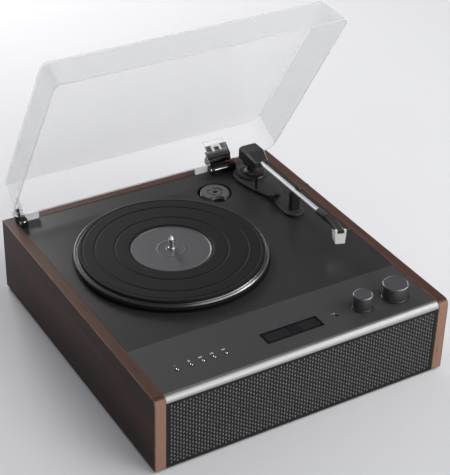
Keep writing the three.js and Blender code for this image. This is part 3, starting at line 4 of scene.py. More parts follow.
import bmesh
import bpy
from bpy.props import FloatProperty, FloatVectorProperty, IntProperty, PointerProperty
from mathutils import Matrix, Vector
from mathutils.geometry import tessellate_polygon


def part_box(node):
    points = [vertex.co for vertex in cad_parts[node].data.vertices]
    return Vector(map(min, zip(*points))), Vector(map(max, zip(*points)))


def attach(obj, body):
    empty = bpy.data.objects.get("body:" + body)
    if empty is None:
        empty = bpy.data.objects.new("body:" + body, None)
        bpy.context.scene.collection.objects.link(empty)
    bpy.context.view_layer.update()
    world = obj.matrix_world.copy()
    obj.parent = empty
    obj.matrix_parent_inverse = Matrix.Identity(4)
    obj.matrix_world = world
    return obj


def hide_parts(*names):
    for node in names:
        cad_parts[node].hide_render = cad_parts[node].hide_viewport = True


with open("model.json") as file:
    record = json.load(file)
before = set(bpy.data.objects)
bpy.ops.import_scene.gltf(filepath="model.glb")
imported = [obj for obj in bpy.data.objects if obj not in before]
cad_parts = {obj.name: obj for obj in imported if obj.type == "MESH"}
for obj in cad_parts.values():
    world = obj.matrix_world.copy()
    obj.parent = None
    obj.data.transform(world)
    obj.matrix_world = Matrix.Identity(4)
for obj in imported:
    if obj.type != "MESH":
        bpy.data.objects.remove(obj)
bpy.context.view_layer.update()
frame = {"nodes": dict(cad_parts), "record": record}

bl_info = {
    "name": "Record player",
    "version": (1, 0, 0),
    "blender": (4, 5, 0),
    "location": "3D View > Sidebar > Record player",
    "description": "Dresses the record player's solids with their finished shapes and surfaces",
    "category": "Object",
}

MM = 0.001
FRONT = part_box("panel_left")[0][1] / MM


def span(*nodes):
    """The lowest and highest corner of some nodes, in millimetres, with y counted from the case's front."""
    boxes = [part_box(node) for node in nodes]
    low = [min(box[0][i] for box in boxes) / MM for i in range(3)]
    high = [max(box[1][i] for box in boxes) / MM for i in range(3)]
    return Vector((low[0], low[1] - FRONT, low[2])), Vector((high[0], high[1] - FRONT, high[2]))


def middle(*nodes):
    low, high = span(*nodes)
    return (low + high) / 2


def upright(node):
    """The place, radius, foot and top of an upright round node."""
    low, high = span(node)
    return (low.x + high.x) / 2, (low.y + high.y) / 2, (high.x - low.x) / 2, low.z, high.z


def tone(red, green, blue):
    """A colour given as it shows on a screen, 0 to 255, as Blender's own linear values."""
    def linear(part):
        part /= 255
        return part / 12.92 if part <= 0.04045 else ((part + 0.055) / 1.055) ** 2.4
    return (linear(red), linear(green), linear(blue), 1.0)


# What several pieces share, in millimetres and degrees

KEYS = [f"button_{i}" for i in range(1, 6)]
FEET = [f"foot_{end}_{side}" for end in ("front", "rear") for side in ("left", "right")]
DECK_TOP = span("control_panel")[1].z
DECK_UNDER = DECK_TOP - 3
KEY_Y = middle("button_1").y
SENSOR_X = 65.5
WELL_RADIUS = 112.0
FOOT_RECESS = 1.6
BITE_TURN = 256
BLACK = tone(24, 24, 26)
BRASS = tone(206, 176, 112)
# Near-black for painted shade and shadow: the adapter's recess and the ring round the platter.
PAINTED_SHADE_BLACK = tone(6, 6, 7)


def colour_setting(name, description, *parts):
    return FloatVectorProperty(name=name, description=description, default=tone(*parts), size=4,
                               min=0, max=1, subtype="COLOR")


def length_setting(name, description, default):
    return FloatProperty(name=name, description=description, default=default * MM, min=0,
                         subtype="DISTANCE", unit="LENGTH")


def share_setting(name, description, default, most):
    return FloatProperty(name=name, description=description, default=default, min=0, max=most,
                         subtype="FACTOR")


def steps_setting(description, default, least, most):
    return IntProperty(name="Steps", description=description, default=default, min=least, max=most)


# Settings

class CaseSettings(bpy.types.PropertyGroup):
    edge: length_setting("Edge", "Rounding of the wooden edges", 0.9)
    dark: colour_setting("Dark grain", "Darker colour of the wood", 25, 14, 11)
    light: colour_setting("Light grain", "Lighter colour of the wood", 68, 42, 33)


class DeckSettings(bpy.types.PropertyGroup):
    edge: length_setting("Edge", "Rounding of the deck's edges", 0.35)
    seam: length_setting("Seam", "Gap between the deck and the control panel", 0.3)
    deck: colour_setting("Deck", "Paint of the deck", 39, 39, 40)
    panel: colour_setting("Control panel", "Paint of the control panel", 59, 59, 60)
    trim: colour_setting("Trim", "Metal of the front trim", 160, 160, 161)


class GrilleSettings(bpy.types.PropertyGroup):
    across: length_setting("Pitch across", "Distance between upright strands", 4.05)
    up: length_setting("Pitch up", "Distance between level strands", 2.795)
    bulge: length_setting("Bulge", "How far an upright strand stands out", 0.85)
    colour: colour_setting("Strands", "Colour of the woven strands", 110, 109, 110)


class PlatterSettings(bpy.types.PropertyGroup):
    steps: steps_setting("Facets round the platter", 192, 48, 384)
    groove: length_setting("Groove", "Width of the rings moulded in the mat", 1.7)
    metal: colour_setting("Platter", "Metal of the platter", 104, 104, 106)
    rubber: colour_setting("Mat", "Rubber of the mat", 22, 22, 23)
    label: colour_setting("Centre disc", "Finish of the disc inside the mat", 103, 103, 105)


class ControlSettings(bpy.types.PropertyGroup):
    knob: colour_setting("Knobs", "Metal of the knobs", 96, 96, 98)
    cap: colour_setting("Knob tops", "Metal of the knobs' tops", 118, 118, 120)
    glass: colour_setting("Display", "Glass of the display", 14, 14, 16)
    mark: colour_setting("Marks", "Colour of the printed marks", 214, 214, 215)


class ArmSettings(bpy.types.PropertyGroup):
    edge: length_setting("Edge", "Rounding of the housing's edges", 0.45)
    body: colour_setting("Housing", "Plastic of the arm's housing", 45, 45, 46)
    cartridge: colour_setting("Cartridge", "Plastic of the cartridge", 240, 239, 237)


class CoverSettings(bpy.types.PropertyGroup):
    steps: steps_setting("Facets in each corner of the cover", 14, 4, 48)
    veil: share_setting("Veil", "How milky the clear plastic is", 0.055, 1)
    clear: colour_setting("Clear plastic", "Colour of the clear plastic", 246, 247, 248)


class StageSettings(bpy.types.PropertyGroup):
    floor: colour_setting("Floor", "Colour of the floor and backdrop", 226, 226, 228)
    light: share_setting("Light", "Level of the lamps", 1.0, 4)


# Node trees

def maths(operation, swapped=False):
    """One of Python's operators as a Math node."""
    def use(*terms):
        order = terms[::-1] if swapped else terms
        return terms[0].nodes.node("ShaderNodeMath", {"operation": operation}, dict(enumerate(order)))
    return use


class Value:
    """A socket of a node tree that can be used in sums."""

    def __init__(self, nodes, socket):
        self.nodes, self.socket = nodes, socket

    __add__ = __radd__ = maths("ADD")
    __mul__ = __rmul__ = maths("MULTIPLY")
    __sub__, __rsub__ = maths("SUBTRACT"), maths("SUBTRACT", swapped=True)
    __truediv__, __mod__, __pow__ = maths("DIVIDE"), maths("FLOORED_MODULO"), maths("POWER")
    __lt__, __abs__, floor, wave = maths("LESS_THAN"), maths("ABSOLUTE"), maths("FLOOR"), maths("SINE")

    def between(self, low, high):
        """0 below low, 1 above high, and smooth between them."""
        return self.nodes.node("ShaderNodeMapRange", {"interpolation_type": "SMOOTHSTEP"},
                               {"Value": self, "From Min": low, "From Max": high})


class Nodes:
    """A node tree being built."""

    def node(self, kind, settings=None, sockets=None, result=0):
        made = self.tree.nodes.new(kind)
        for key, value in (settings or {}).items():
            setattr(made, key, value)
        for key, value in (sockets or {}).items():
            self.put(made.inputs[key], value)
        return Value(self, made.outputs[result])

    def put(self, socket, value):
        if isinstance(value, Value):
            self.tree.links.new(value.socket, socket)
        else:
            socket.default_value = value

    def parts(self, vector):
        split = self.tree.nodes.new("ShaderNodeSeparateXYZ")
        self.put(split.inputs[0], vector)
        return [Value(self, socket) for socket in split.outputs]


class Finish(Nodes):
    """A material being built, with the sums that its surfaces are made of."""

    def __init__(self, name, **constants):
        self.material = bpy.data.materials.new(name)
        self.material.use_nodes = True
        self.tree = self.material.node_tree
        self.tree.nodes.clear()
        self.shader = self.tree.nodes.new("ShaderNodeBsdfPrincipled")
        self.output = self.tree.nodes.new("ShaderNodeOutputMaterial")
        self.tree.links.new(self.shader.outputs[0], self.output.inputs["Surface"])
        self.set(**constants)

    def set(self, **values):
        for name, value in values.items():
            self.put(self.shader.inputs[name.replace("_", " ")], value)

    def wear(self, colour, roughness, relief=None, strength=0.0, depth=0.0):
        """Sets what changes over the surface. The relief's depth is in millimetres."""
        self.set(Base_Color=colour, Roughness=roughness)
        if relief is not None:
            self.set(Normal=self.node("ShaderNodeBump", None, {
                "Height": relief, "Strength": strength, "Distance": depth * MM}))
        return self.material

    def place(self, scale=(1, 1, 1), centre=(0, 0, 0)):
        """The point on the piece, in metres from a centre, each axis times its scale."""
        point = self.node("ShaderNodeTexCoord", result="Object")
        shift = [-c * s for c, s in zip(centre, scale)]
        return self.node("ShaderNodeMapping", None, {"Vector": point, "Location": shift, "Scale": scale})

    def rings(self, x, y):
        """The distance from an upright axis, whose place is in millimetres."""
        a, b, _ = self.parts(self.place(centre=(x * MM, (y + FRONT) * MM, 0)))
        return (a * a + b * b) ** 0.5

    def facing(self, axis):
        """1 on a surface that faces along an axis, 0 on one that lies along it."""
        return abs(self.parts(self.node("ShaderNodeNewGeometry", result="Normal"))[axis])

    def noise(self, scale, detail=2.0, roughness=0.5, distortion=0.0, at=(1, 1, 1)):
        """Noise over the piece, stretched by a scale for each axis or laid on given points."""
        return self.node("ShaderNodeTexNoise", None, {
            "Vector": at if isinstance(at, Value) else self.place(at), "Scale": scale, "Detail": detail,
            "Roughness": roughness, "Distortion": distortion})

    def line_noise(self, length, scale, detail):
        """Noise that changes along one number alone."""
        return self.node("ShaderNodeTexNoise", {"noise_dimensions": "1D"},
                         {"W": length, "Scale": scale, "Detail": detail})

    def cells(self, size):
        return self.node("ShaderNodeTexVoronoi", None, {"Vector": self.place((size, size, size)), "Scale": 1.0})

    def blend(self, share, first, second):
        return self.node("ShaderNodeMix", {"data_type": "RGBA"}, {0: share, 6: first, 7: second}, 2)

    def blend_points(self, share, first, second):
        return self.node("ShaderNodeMix", {"data_type": "VECTOR"}, {0: share, 4: first, 5: second}, 1)

    def shade(self, colour, share):
        """A colour made darker or lighter all over by a number."""
        return self.node("ShaderNodeVectorMath", {"operation": "SCALE"}, {0: colour[:3], "Scale": share})


class Rule(Nodes):
    """A geometry tree being built, with named inputs."""

    def __init__(self, name):
        self.tree = bpy.data.node_groups.new(name, "GeometryNodeTree")
        for way in ("INPUT", "OUTPUT"):
            self.tree.interface.new_socket("Geometry", in_out=way, socket_type="NodeSocketGeometry")
        self.entry = self.tree.nodes.new("NodeGroupInput")
        self.exit = self.tree.nodes.new("NodeGroupOutput")
        self.keys = {}

    def given(self, name, kind):
        socket = self.tree.interface.new_socket(name, in_out="INPUT", socket_type="NodeSocket" + kind)
        self.keys[name] = socket.identifier
        return Value(self, next(s for s in self.entry.outputs if s.identifier == socket.identifier))

    def end(self, geometry, look):
        """Every rule ends in plain faces with one material."""
        real = self.node("GeometryNodeRealizeInstances", None, {0: geometry})
        dressed = self.node("GeometryNodeSetMaterial", None, {"Geometry": real, "Material": look})
        self.put(self.exit.inputs[0], dressed)

    def use(self, obj, values):
        """Runs the rule on an object and leaves a plain mesh."""
        modifier = obj.modifiers.new("rule", "NODES")
        modifier.node_group = self.tree
        for key, value in values.items():
            modifier[self.keys[key]] = value
        return evaluated(obj)


# Shapes, in millimetres: a list of points and a list of faces

def arc(x, y, radius, start, end, steps):
    turns = [math.radians(start + (end - start) * i / steps) for i in range(steps + 1)]
    return [(x + radius * math.cos(turn), y + radius * math.sin(turn)) for turn in turns]


def circle(x, y, radius, steps=64):
    return arc(x, y, radius, 0, 360, steps)[:-1]


def oblong(x0, x1, y0, y1, radius=0.0, steps=6):
    if radius <= 0:
        return [(x0, y0), (x1, y0), (x1, y1), (x0, y1)]
    corners = ((x0 + radius, y0 + radius, 180), (x1 - radius, y0 + radius, 270),
               (x1 - radius, y1 - radius, 0), (x0 + radius, y1 - radius, 90))
    return [point for x, y, turn in corners for point in arc(x, y, radius, turn, turn + 90, steps)]


def eased(points, radius=0.0, steps=3, ring=False):
    """Rounds the corners of a profile by one radius, or by a point's own third number."""
    out = []
    for i, point in enumerate(points):
        r = point[2] if len(point) > 2 else radius
        if r <= 0 or (not ring and i in (0, len(points) - 1)):
            out.append(tuple(point[:2]))
            continue
        here, before, after = (Vector(p[:2]) for p in (point, points[i - 1], points[(i + 1) % len(points)]))
        a, b = before - here, after - here
        start = here + a.normalized() * min(r, a.length * 0.45)
        end = here + b.normalized() * min(r, b.length * 0.45)
        for k in range(steps + 1):
            t = k / steps
            out.append(tuple(start * (1 - t) ** 2 + here * 2 * t * (1 - t) + end * t ** 2))
    return out


def notched(centre, radius, reach, notch, outwards):
    """A circle joined with the finger bite's circle, or cut by it."""
    cut_turn = math.degrees(math.acos((reach ** 2 + radius ** 2 - notch ** 2) / (2 * reach * radius)))
    turn, corner_turn = math.radians(BITE_TURN), math.radians(BITE_TURN - cut_turn)
    x, y = centre.x + reach * math.cos(turn), centre.y + reach * math.sin(turn)
    corner = (centre.x + radius * math.cos(corner_turn), centre.y + radius * math.sin(corner_turn))
    half = (BITE_TURN - math.degrees(math.atan2(corner[1] - y, corner[0] - x))) % 360
    big = arc(centre.x, centre.y, radius, BITE_TURN + cut_turn, BITE_TURN + 360 - cut_turn, 72)
    start = BITE_TURN - half + (0 if outwards else 360)
    return big + arc(x, y, notch, start, BITE_TURN + half, 24)[1:-1]


def signed_area(outline):
    return sum(a[0] * b[1] - b[0] * a[1] for a, b in zip(outline, outline[1:] + outline[:1])) / 2


def inset(outline, distance):
    """Moves a closed outline to the left of its own direction."""
    out = []
    for i, point in enumerate(outline):
        here, before, after = Vector(point), Vector(outline[i - 1]), Vector(outline[(i + 1) % len(outline)])
        into, away = (here - before).normalized(), (after - here).normalized()
        side = Vector((-into.y - away.y, into.x + away.x))
        side = side.normalized() if side.length > 1e-9 else Vector((-into.y, into.x))
        reach = distance / max(0.5, side.dot(Vector((-into.y, into.x))))
        out.append(tuple(here + side * reach))
    return out


def along(axis, a, b, h):
    return {"X": (h, a, b), "Y": (a, h, b), "Z": (a, b, h)}[axis]


def slab(outlines, low, high, edge=0.3, steps=3, axis="Z", lower_edge=None):
    """A plate with rounded edges: its outline first, then those of its holes."""
    loops = []
    for i, outline in enumerate(outlines):
        turn_back = signed_area(outline) < 0 if i == 0 else signed_area(outline) > 0
        loops.append(list(reversed(outline)) if turn_back else list(outline))

    def quarter(edge):
        if edge <= 0:
            return [(0.0, 0.0)]
        turns = [math.pi / 2 * k / steps for k in range(steps + 1)]
        return [(edge * (1 - math.sin(t)), edge * (1 - math.cos(t))) for t in turns]
    levels = [(d, low + h) for d, h in quarter(edge if lower_edge is None else lower_edge)]
    levels += [(d, high - h) for d, h in reversed(quarter(edge))]
    points, faces, ends = [], [], []
    for loop in loops:
        rows = []
        for distance, height in levels:
            rows.append(range(len(points), len(points) + len(loop)))
            points.extend(along(axis, a, b, height) for a, b in inset(loop, distance))
        faces += skirts(rows)
        ends.append((rows[0], rows[-1]))
    for end, distance in ((0, levels[0][0]), (1, levels[-1][0])):
        index = [k for pair in ends for k in pair[end]]
        flat_loops = [[Vector((a, b, 0)) for a, b in inset(loop, distance)] for loop in loops]
        for triangle in tessellate_polygon(flat_loops):
            faces.append(tuple(index[k] for k in triangle))
    return points, faces


def skirts(rows):
    """Faces between rows of equal counts, or between a row and a single point."""
    faces = []
    for lower, upper in zip(rows, rows[1:]):
        count = max(len(lower), len(upper))
        for i in range(count if count > 1 else 0):
            j = (i + 1) % count
            if len(lower) == 1:
                faces.append((lower[0], upper[j], upper[i]))
            elif len(upper) == 1:
                faces.append((lower[i], lower[j], upper[0]))
            else:
                faces.append((lower[i], lower[j], upper[j], upper[i]))
    return faces


def turned(profile, centre, steps=96, axis="Z", ring=False):
    """A profile of (radius, height) points spun about an axis through a point."""
    points, rows = [], []
    for radius, height in profile:
        count = 1 if radius < 1e-6 else steps
        rows.append(range(len(points), len(points) + count))
        for i in range(count):
            a = 2 * math.pi * i / steps
            points.append(along(axis, radius * math.cos(a), radius * math.sin(a), height))
    return [tuple(Vector(p) + Vector(centre)) for p in points], skirts(rows + rows[:1] if ring else rows)


def lathe(profile, centre, steps=96, axis="Z", ring=False, soft=0.0, fine=3):
    """Like turned, with the profile's corners eased first."""
    return turned(eased(profile, soft, fine, ring), centre, steps, axis, ring)


def loft(rings):
    """A closed skin through rings of equal counts."""
    count = len(rings[0])
    points = [tuple(p) for ring in rings for p in ring]
    faces = skirts([range(k * count, (k + 1) * count) for k in range(len(rings))])
    ends = [tuple(range(count))[::-1], tuple(range(len(points) - count, len(points)))]
    return points, faces + ends


def joined(*shapes):
    points, faces = [], []
    for shape_points, shape_faces in shapes:
        start = len(points)
        points.extend(shape_points)
        faces.extend(tuple(k + start for k in face) for face in shape_faces)
    return points, faces


def moved(shape, change):
    return [tuple(change(Vector(p))) for p in shape[0]], shape[1]


# Finished pieces

def new_object(name, data):
    obj = bpy.data.objects.new(name, data)
    bpy.context.scene.collection.objects.link(obj)
    return obj


def plain_object(name, shape, front=FRONT, tidy=True):
    """An object from a shape in millimetres, with its doubles merged and its faces outwards."""
    points, faces = shape
    mesh = bpy.data.meshes.new(name)
    mesh.from_pydata([(x * MM, (y + front) * MM, z * MM) for x, y, z in points], [], faces)
    if tidy:
        work = bmesh.new()
        work.from_mesh(mesh)
        bmesh.ops.remove_doubles(work, verts=work.verts, dist=1e-6)
        bmesh.ops.dissolve_degenerate(work, edges=work.edges, dist=1e-6)
        bmesh.ops.recalc_face_normals(work, faces=work.faces)
        work.to_mesh(mesh)
        work.free()
    return new_object(name, mesh)


def evaluated(obj):
    """Replaces an object's mesh by the one that its modifiers give."""
    mesh = bpy.data.meshes.new_from_object(obj.evaluated_get(bpy.context.evaluated_depsgraph_get()))
    obj.modifiers.clear()
    mesh.name = obj.name
    old = obj.data
    obj.data = mesh
    bpy.data.meshes.remove(old)
    return obj


def smooth(obj, crease):
    """Shades the curves smooth, keeps the creases, and keeps wide faces flat beside narrow ones."""
    mesh = obj.data
    mesh.polygons.foreach_set("use_smooth", [True] * len(mesh.polygons))
    mesh.set_sharp_from_angle(angle=math.radians(crease))
    obj.modifiers.new("weigh", "WEIGHTED_NORMAL").keep_sharp = True
    return evaluated(obj)


def settle(obj, look, body, replaces=(), choose=None):
    """Gives a finished piece its materials and its body, and hides the node that it stands for."""
    obj.data.materials.clear()
    for one in look if isinstance(look, (list, tuple)) else [look]:
        obj.data.materials.append(one)
    if choose:
        for face in obj.data.polygons:
            centre = face.center / MM
            face.material_index = choose(Vector((centre.x, centre.y - FRONT, centre.z)), face.normal)
    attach(obj, body)
    if replaces:
        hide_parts(replaces)
    return obj


def make(name, shape, look, body, replaces=(), crease=30, choose=None):
    """A piece from a shape in millimetres."""
    return settle(smooth(plain_object(name, shape), crease), look, body, replaces, choose)


def cut(obj, shape):
    """Takes a shape in millimetres out of a piece."""
    tool = plain_object("cutter", shape)
    boolean = obj.modifiers.new("cut", "BOOLEAN")
    boolean.operation = "DIFFERENCE"
    boolean.solver = "EXACT"
    boolean.object = tool
    evaluated(obj)
    bpy.data.objects.remove(tool)


def dress(name, node, look, body, edge=0.3, crease=33, steps=2, choose=None, cuts=()):
    """A copy of a node with its flat faces merged and its edges rounded."""
    mesh = frame["nodes"][node].data.copy()
    work = bmesh.new()
    work.from_mesh(mesh)
    bmesh.ops.remove_doubles(work, verts=work.verts, dist=2e-6)
    bmesh.ops.dissolve_limit(work, angle_limit=math.radians(0.8), verts=work.verts, edges=work.edges)
    work.to_mesh(mesh)
    work.free()
    if "custom_normal" in mesh.attributes:
        mesh.attributes.remove(mesh.attributes["custom_normal"])
    obj = new_object(name, mesh)
    for shape in cuts:
        cut(obj, shape)
    bevel = obj.modifiers.new("edge", "BEVEL")
    bevel.width = edge * MM
    bevel.segments = steps
    bevel.limit_method = "ANGLE"
    bevel.angle_limit = math.radians(crease)
    bevel.miter_outer = "MITER_ARC"
    evaluated(obj)
    return settle(smooth(obj, crease), look, body, node, choose)


# Surfaces

MADE = {}


def finish(function):
    """Each finish is built once, however many pieces wear it."""
    def ask(*values):
        key = (function.__name__, *(tuple(v) if hasattr(v, "__len__") else v for v in values))
        if key not in MADE:
            MADE[key] = function(*values)
        return MADE[key]
    return ask


@finish
def walnut(name, dark, light, ends):
    """Veneer with its grain along the board. The front ends are lighter, with upright grain."""
    f = Finish(name, Specular_IOR_Level=0.14)
    end = f.facing(1).between(0.5, 0.8) * ends
    lying = f.place((60, 2.4, 60) if ends else (2.4, 60, 60))
    grain_place = f.blend_points(end, lying, f.place((60, 60, 2.4)))
    grain = f.noise(1.0, 6, 0.62, 0.5, grain_place)
    broad = f.noise(0.22, 3, 0.5, 1.2, grain_place)
    pores = f.noise(7.0, 2, at=grain_place).between(0.6, 0.72)
    colour = f.blend(grain.between(0.3, 0.72), dark, light)
    colour = f.blend(broad.between(0.42, 0.7) * 0.55, colour, dark)
    colour = f.blend(end * (0.45 + grain * 0.35), colour, tone(172, 136, 116))
    # Top faces blend towards a lighter brown: a painted sheen, not the wood's colour.
    colour = f.blend(f.facing(2).between(0.7, 0.9) * 0.35, colour, tone(118, 84, 72))
    colour = f.blend(pores * 0.55, colour, tone(22, 14, 11))
    return f.wear(colour, 0.36 + grain * 0.16, grain * 0.6 - pores, 0.25, 0.15)


@finish
def walnut_edge(light):
    """The rounded edges of the veneer, blended towards a light copper: a painted highlight along the edges."""
    f = Finish("walnut_edge", Specular_IOR_Level=0.4)
    grain = f.noise(1.0, 4, 0.6, at=(400, 30, 400))
    highlight_patches = f.noise(1.0, at=(6, 6, 6))
    colour = f.blend(grain.between(0.3, 0.7) * highlight_patches, light, tone(168, 112, 82))
    return f.wear(colour, 0.3 + grain * 0.15, grain, 0.15, 0.05)


@finish
def board(colour):
    """Pressed board, for what is seen only from below."""
    f = Finish("pressed_board")
    chips, cloud = f.cells(260), f.noise(14, 3)
    return f.wear(f.shade(colour, 0.7 + chips * 0.35 + cloud * 0.3), 0.8, chips, 0.3, 0.2)


@finish
def paint(name, colour, roughness):
    """Satin paint with a fine grain, a little uneven in its gloss."""
    f = Finish(name, Specular_IOR_Level=0.35)
    grain, cloud = f.noise(2100, 2, 0.6), f.noise(11, 3)
    return f.wear(f.shade(colour, 0.9 + cloud * 0.12 + grain * 0.08),
                  roughness + cloud * 0.08 + grain * 0.05, grain, 0.12, 0.06)


@finish
def brushed(name, colour, roughness):
    """Metal brushed from side to side."""
    f = Finish(name, Metallic=1.0)
    streaks, wide = f.noise(1.0, 3, 0.6, at=(9, 2600, 2600)), f.noise(1.0, at=(3, 260, 260))
    return f.wear(f.shade(colour, 0.86 + streaks * 0.2 + wide * 0.08),
                  roughness + streaks * 0.12 - wide * 0.05, streaks, 0.15, 0.04)


@finish
def spun(name, colour, roughness, metallic, x, y):
    """Metal turned on a lathe about an upright axis."""
    f = Finish(name, Metallic=metallic)
    distance = f.rings(x, y)
    lines, wide = f.line_noise(distance, 620, 1), f.line_noise(distance, 200, 1)
    return f.wear(f.shade(colour, 0.92 + lines * 0.08 + wide * 0.08),
                  roughness + lines * 0.05 + wide * 0.05, lines + wide * 0.5, 0.04, 0.04)


@finish
def brushed_round(name, colour):
    """Metal turned about an upright axis, seen from its side: fine level lines."""
    f = Finish(name, Metallic=0.85)
    lines, cloud = f.noise(1.0, at=(40, 40, 5200)), f.noise(60)
    return f.wear(f.shade(colour, 0.8 + lines * 0.25 + cloud * 0.1), 0.32 + lines * 0.14, lines, 0.2, 0.05)


@finish
def polished(name, colour, roughness):
    """Plated or polished metal with the faint marks of handling."""
    f = Finish(name, Metallic=1.0)
    smear, fine = f.noise(160, 4, 0.6), f.noise(2600, 1)
    return f.wear(f.shade(colour, 0.94 + smear * 0.12),
                  roughness + smear * 0.08 + fine * 0.03, fine, 0.04, 0.03)


@finish
def tube_metal(colour):
    """Drawn tube, polished along its length."""
    f = Finish("tube_metal", Metallic=1.0)
    drawn, cloud = f.noise(1.0, at=(2400, 6, 2400)), f.noise(1.0, at=(60, 20, 60))
    return f.wear(f.shade(colour, 0.88 + drawn * 0.12 + cloud * 0.05), 0.3 + drawn * 0.06, drawn, 0.06, 0.02)


@finish
def plastic(name, colour, roughness):
    """Moulded plastic with a fine spark-eroded skin."""
    f = Finish(name, Specular_IOR_Level=0.4)
    skin, cloud = f.noise(1500, 3, 0.65), f.noise(40)
    return f.wear(f.shade(colour, 0.88 + cloud * 0.12 + skin * 0.12),
                  roughness + skin * 0.12 - cloud * 0.04, skin, 0.16, 0.05)


@finish
def mat_rubber(colour, x, y):
    """Moulded rubber with fine rings about the spindle, and a little dust."""
    f = Finish("mat_rubber", Specular_IOR_Level=0.12)
    ribs = (f.rings(x, y) * (2 * math.pi / (1.6 * MM))).wave()
    skin, cloud = f.noise(900, 3, 0.6), f.noise(16, 3)
    dust = f.noise(3200, 1).between(0.72, 0.8)
    dusty = f.blend(dust * 0.25, f.shade(colour, 0.85 + cloud * 0.25 + skin * 0.1), tone(120, 118, 114))
    return f.wear(dusty, 0.5 + skin * 0.12 + cloud * 0.06, ribs * 0.5 + skin * 0.5, 0.3, 0.12)


@finish
def rubber(colour):
    f = Finish("rubber", Specular_IOR_Level=0.3)
    skin = f.noise(1200, 3, 0.65)
    return f.wear(f.shade(colour, 0.85 + skin * 0.3), 0.62 + skin * 0.15, skin, 0.25, 0.1)


@finish
def strand(name, colour):
    """The woven strands of the grille, coated and a little glossy."""
    f = Finish(name)
    skin, tint = f.noise(1.0, at=(1500, 1500, 500)), f.noise(240)
    return f.wear(f.shade(colour, 0.75 + tint * 0.5), 0.34 + skin * 0.16, skin, 0.2, 0.04)


@finish
def display_glass(colour, x0, x1, y0, y1):
    """Dark glass over a display that is off: three fields show faintly through it."""
    f = Finish("display_glass", Specular_IOR_Level=0.22)
    x, y, _ = f.parts(f.place())
    across, up = (x / MM - x0) / (x1 - x0), (y / MM - FRONT - y0) / (y1 - y0)

    def field(place, start, end, soft):
        return place.between(start, start + soft) * (1 - place.between(end, end + soft))
    fields = field(across, 0.05, 0.44, 0.005)
    fields = fields + field(across, 0.46, 0.62, 0.005) * 0.55
    fields = fields + field(across, 0.64, 0.95, 0.005) * 0.8
    shown = field(up, 0.16, 0.82, 0.02) * fields
    return f.wear(f.blend(shown * 0.7, colour, tone(40, 40, 43)), 0.12 + f.noise(700) * 0.06)


@finish
def clear_plastic(colour, veil):
    """Clear plastic: a thin veil, thickened where the view grazes the wall as a painted reflection, and faint
    marks of wiping.
    """
    f = Finish("clear_plastic", Roughness=0.12)
    painted_graze_reflection = f.node("ShaderNodeLayerWeight", None, {"Blend": 0.22}, "Fresnel")
    wiped, speck = f.noise(1.0, 4, 0.6, at=(30, 8, 8)), f.noise(1700, 1).between(0.76, 0.8)
    f.set(Base_Color=f.shade(colour, 0.95 + wiped * 0.05),
          Alpha=veil * (0.8 + wiped * 0.4) + painted_graze_reflection * 0.3 + speck * 0.1)
    return f.material


@finish
def clear_edge(colour):
    """The cut rim of clear plastic, whiter and less clear than the wall: a painted highlight where light
    gathers.
    """
    f = Finish("clear_edge", Roughness=0.2)
    sawn = f.noise(1.0, 3, at=(400, 400, 400))
    f.set(Base_Color=f.shade(colour, 0.94 + sawn * 0.08), Alpha=0.62 + sawn * 0.3)
    return f.material


@finish
def circuit(colour):
    """Solder mask with the tracks under it."""
    f = Finish("circuit")
    tracks = f.cells(160).between(0.3, 0.36)
    return f.wear(f.blend(tracks * 0.6, colour, tone(36, 96, 62)), 0.35 + tracks * 0.15, tracks, 0.2, 0.05)


@finish
def lamp_mark(colour):
    f = Finish("lamp_mark", Emission_Strength=0.8, Roughness=0.3)
    glow = f.noise(900, 1)
    f.set(Base_Color=f.shade(colour, 0.8 + glow * 0.4), Emission_Color=f.shade(colour, 0.7 + glow * 0.4))
    return f.material


def black_plastic():
    return plastic("black_plastic", BLACK, 0.34)


def polished_black():
    return plastic("polished_black", tone(10, 10, 12), 0.14)


def chrome():
    return polished("chrome", tone(226, 226, 228), 0.08)


def brass():
    return polished("brass", BRASS, 0.22)


# Operators

class Step(bpy.types.Operator):
    """Shared by every step: it runs, or stops the script."""
    bl_options = {"REGISTER"}

    def execute(self, context):
        self.build(context.scene)
        return {"FINISHED"}


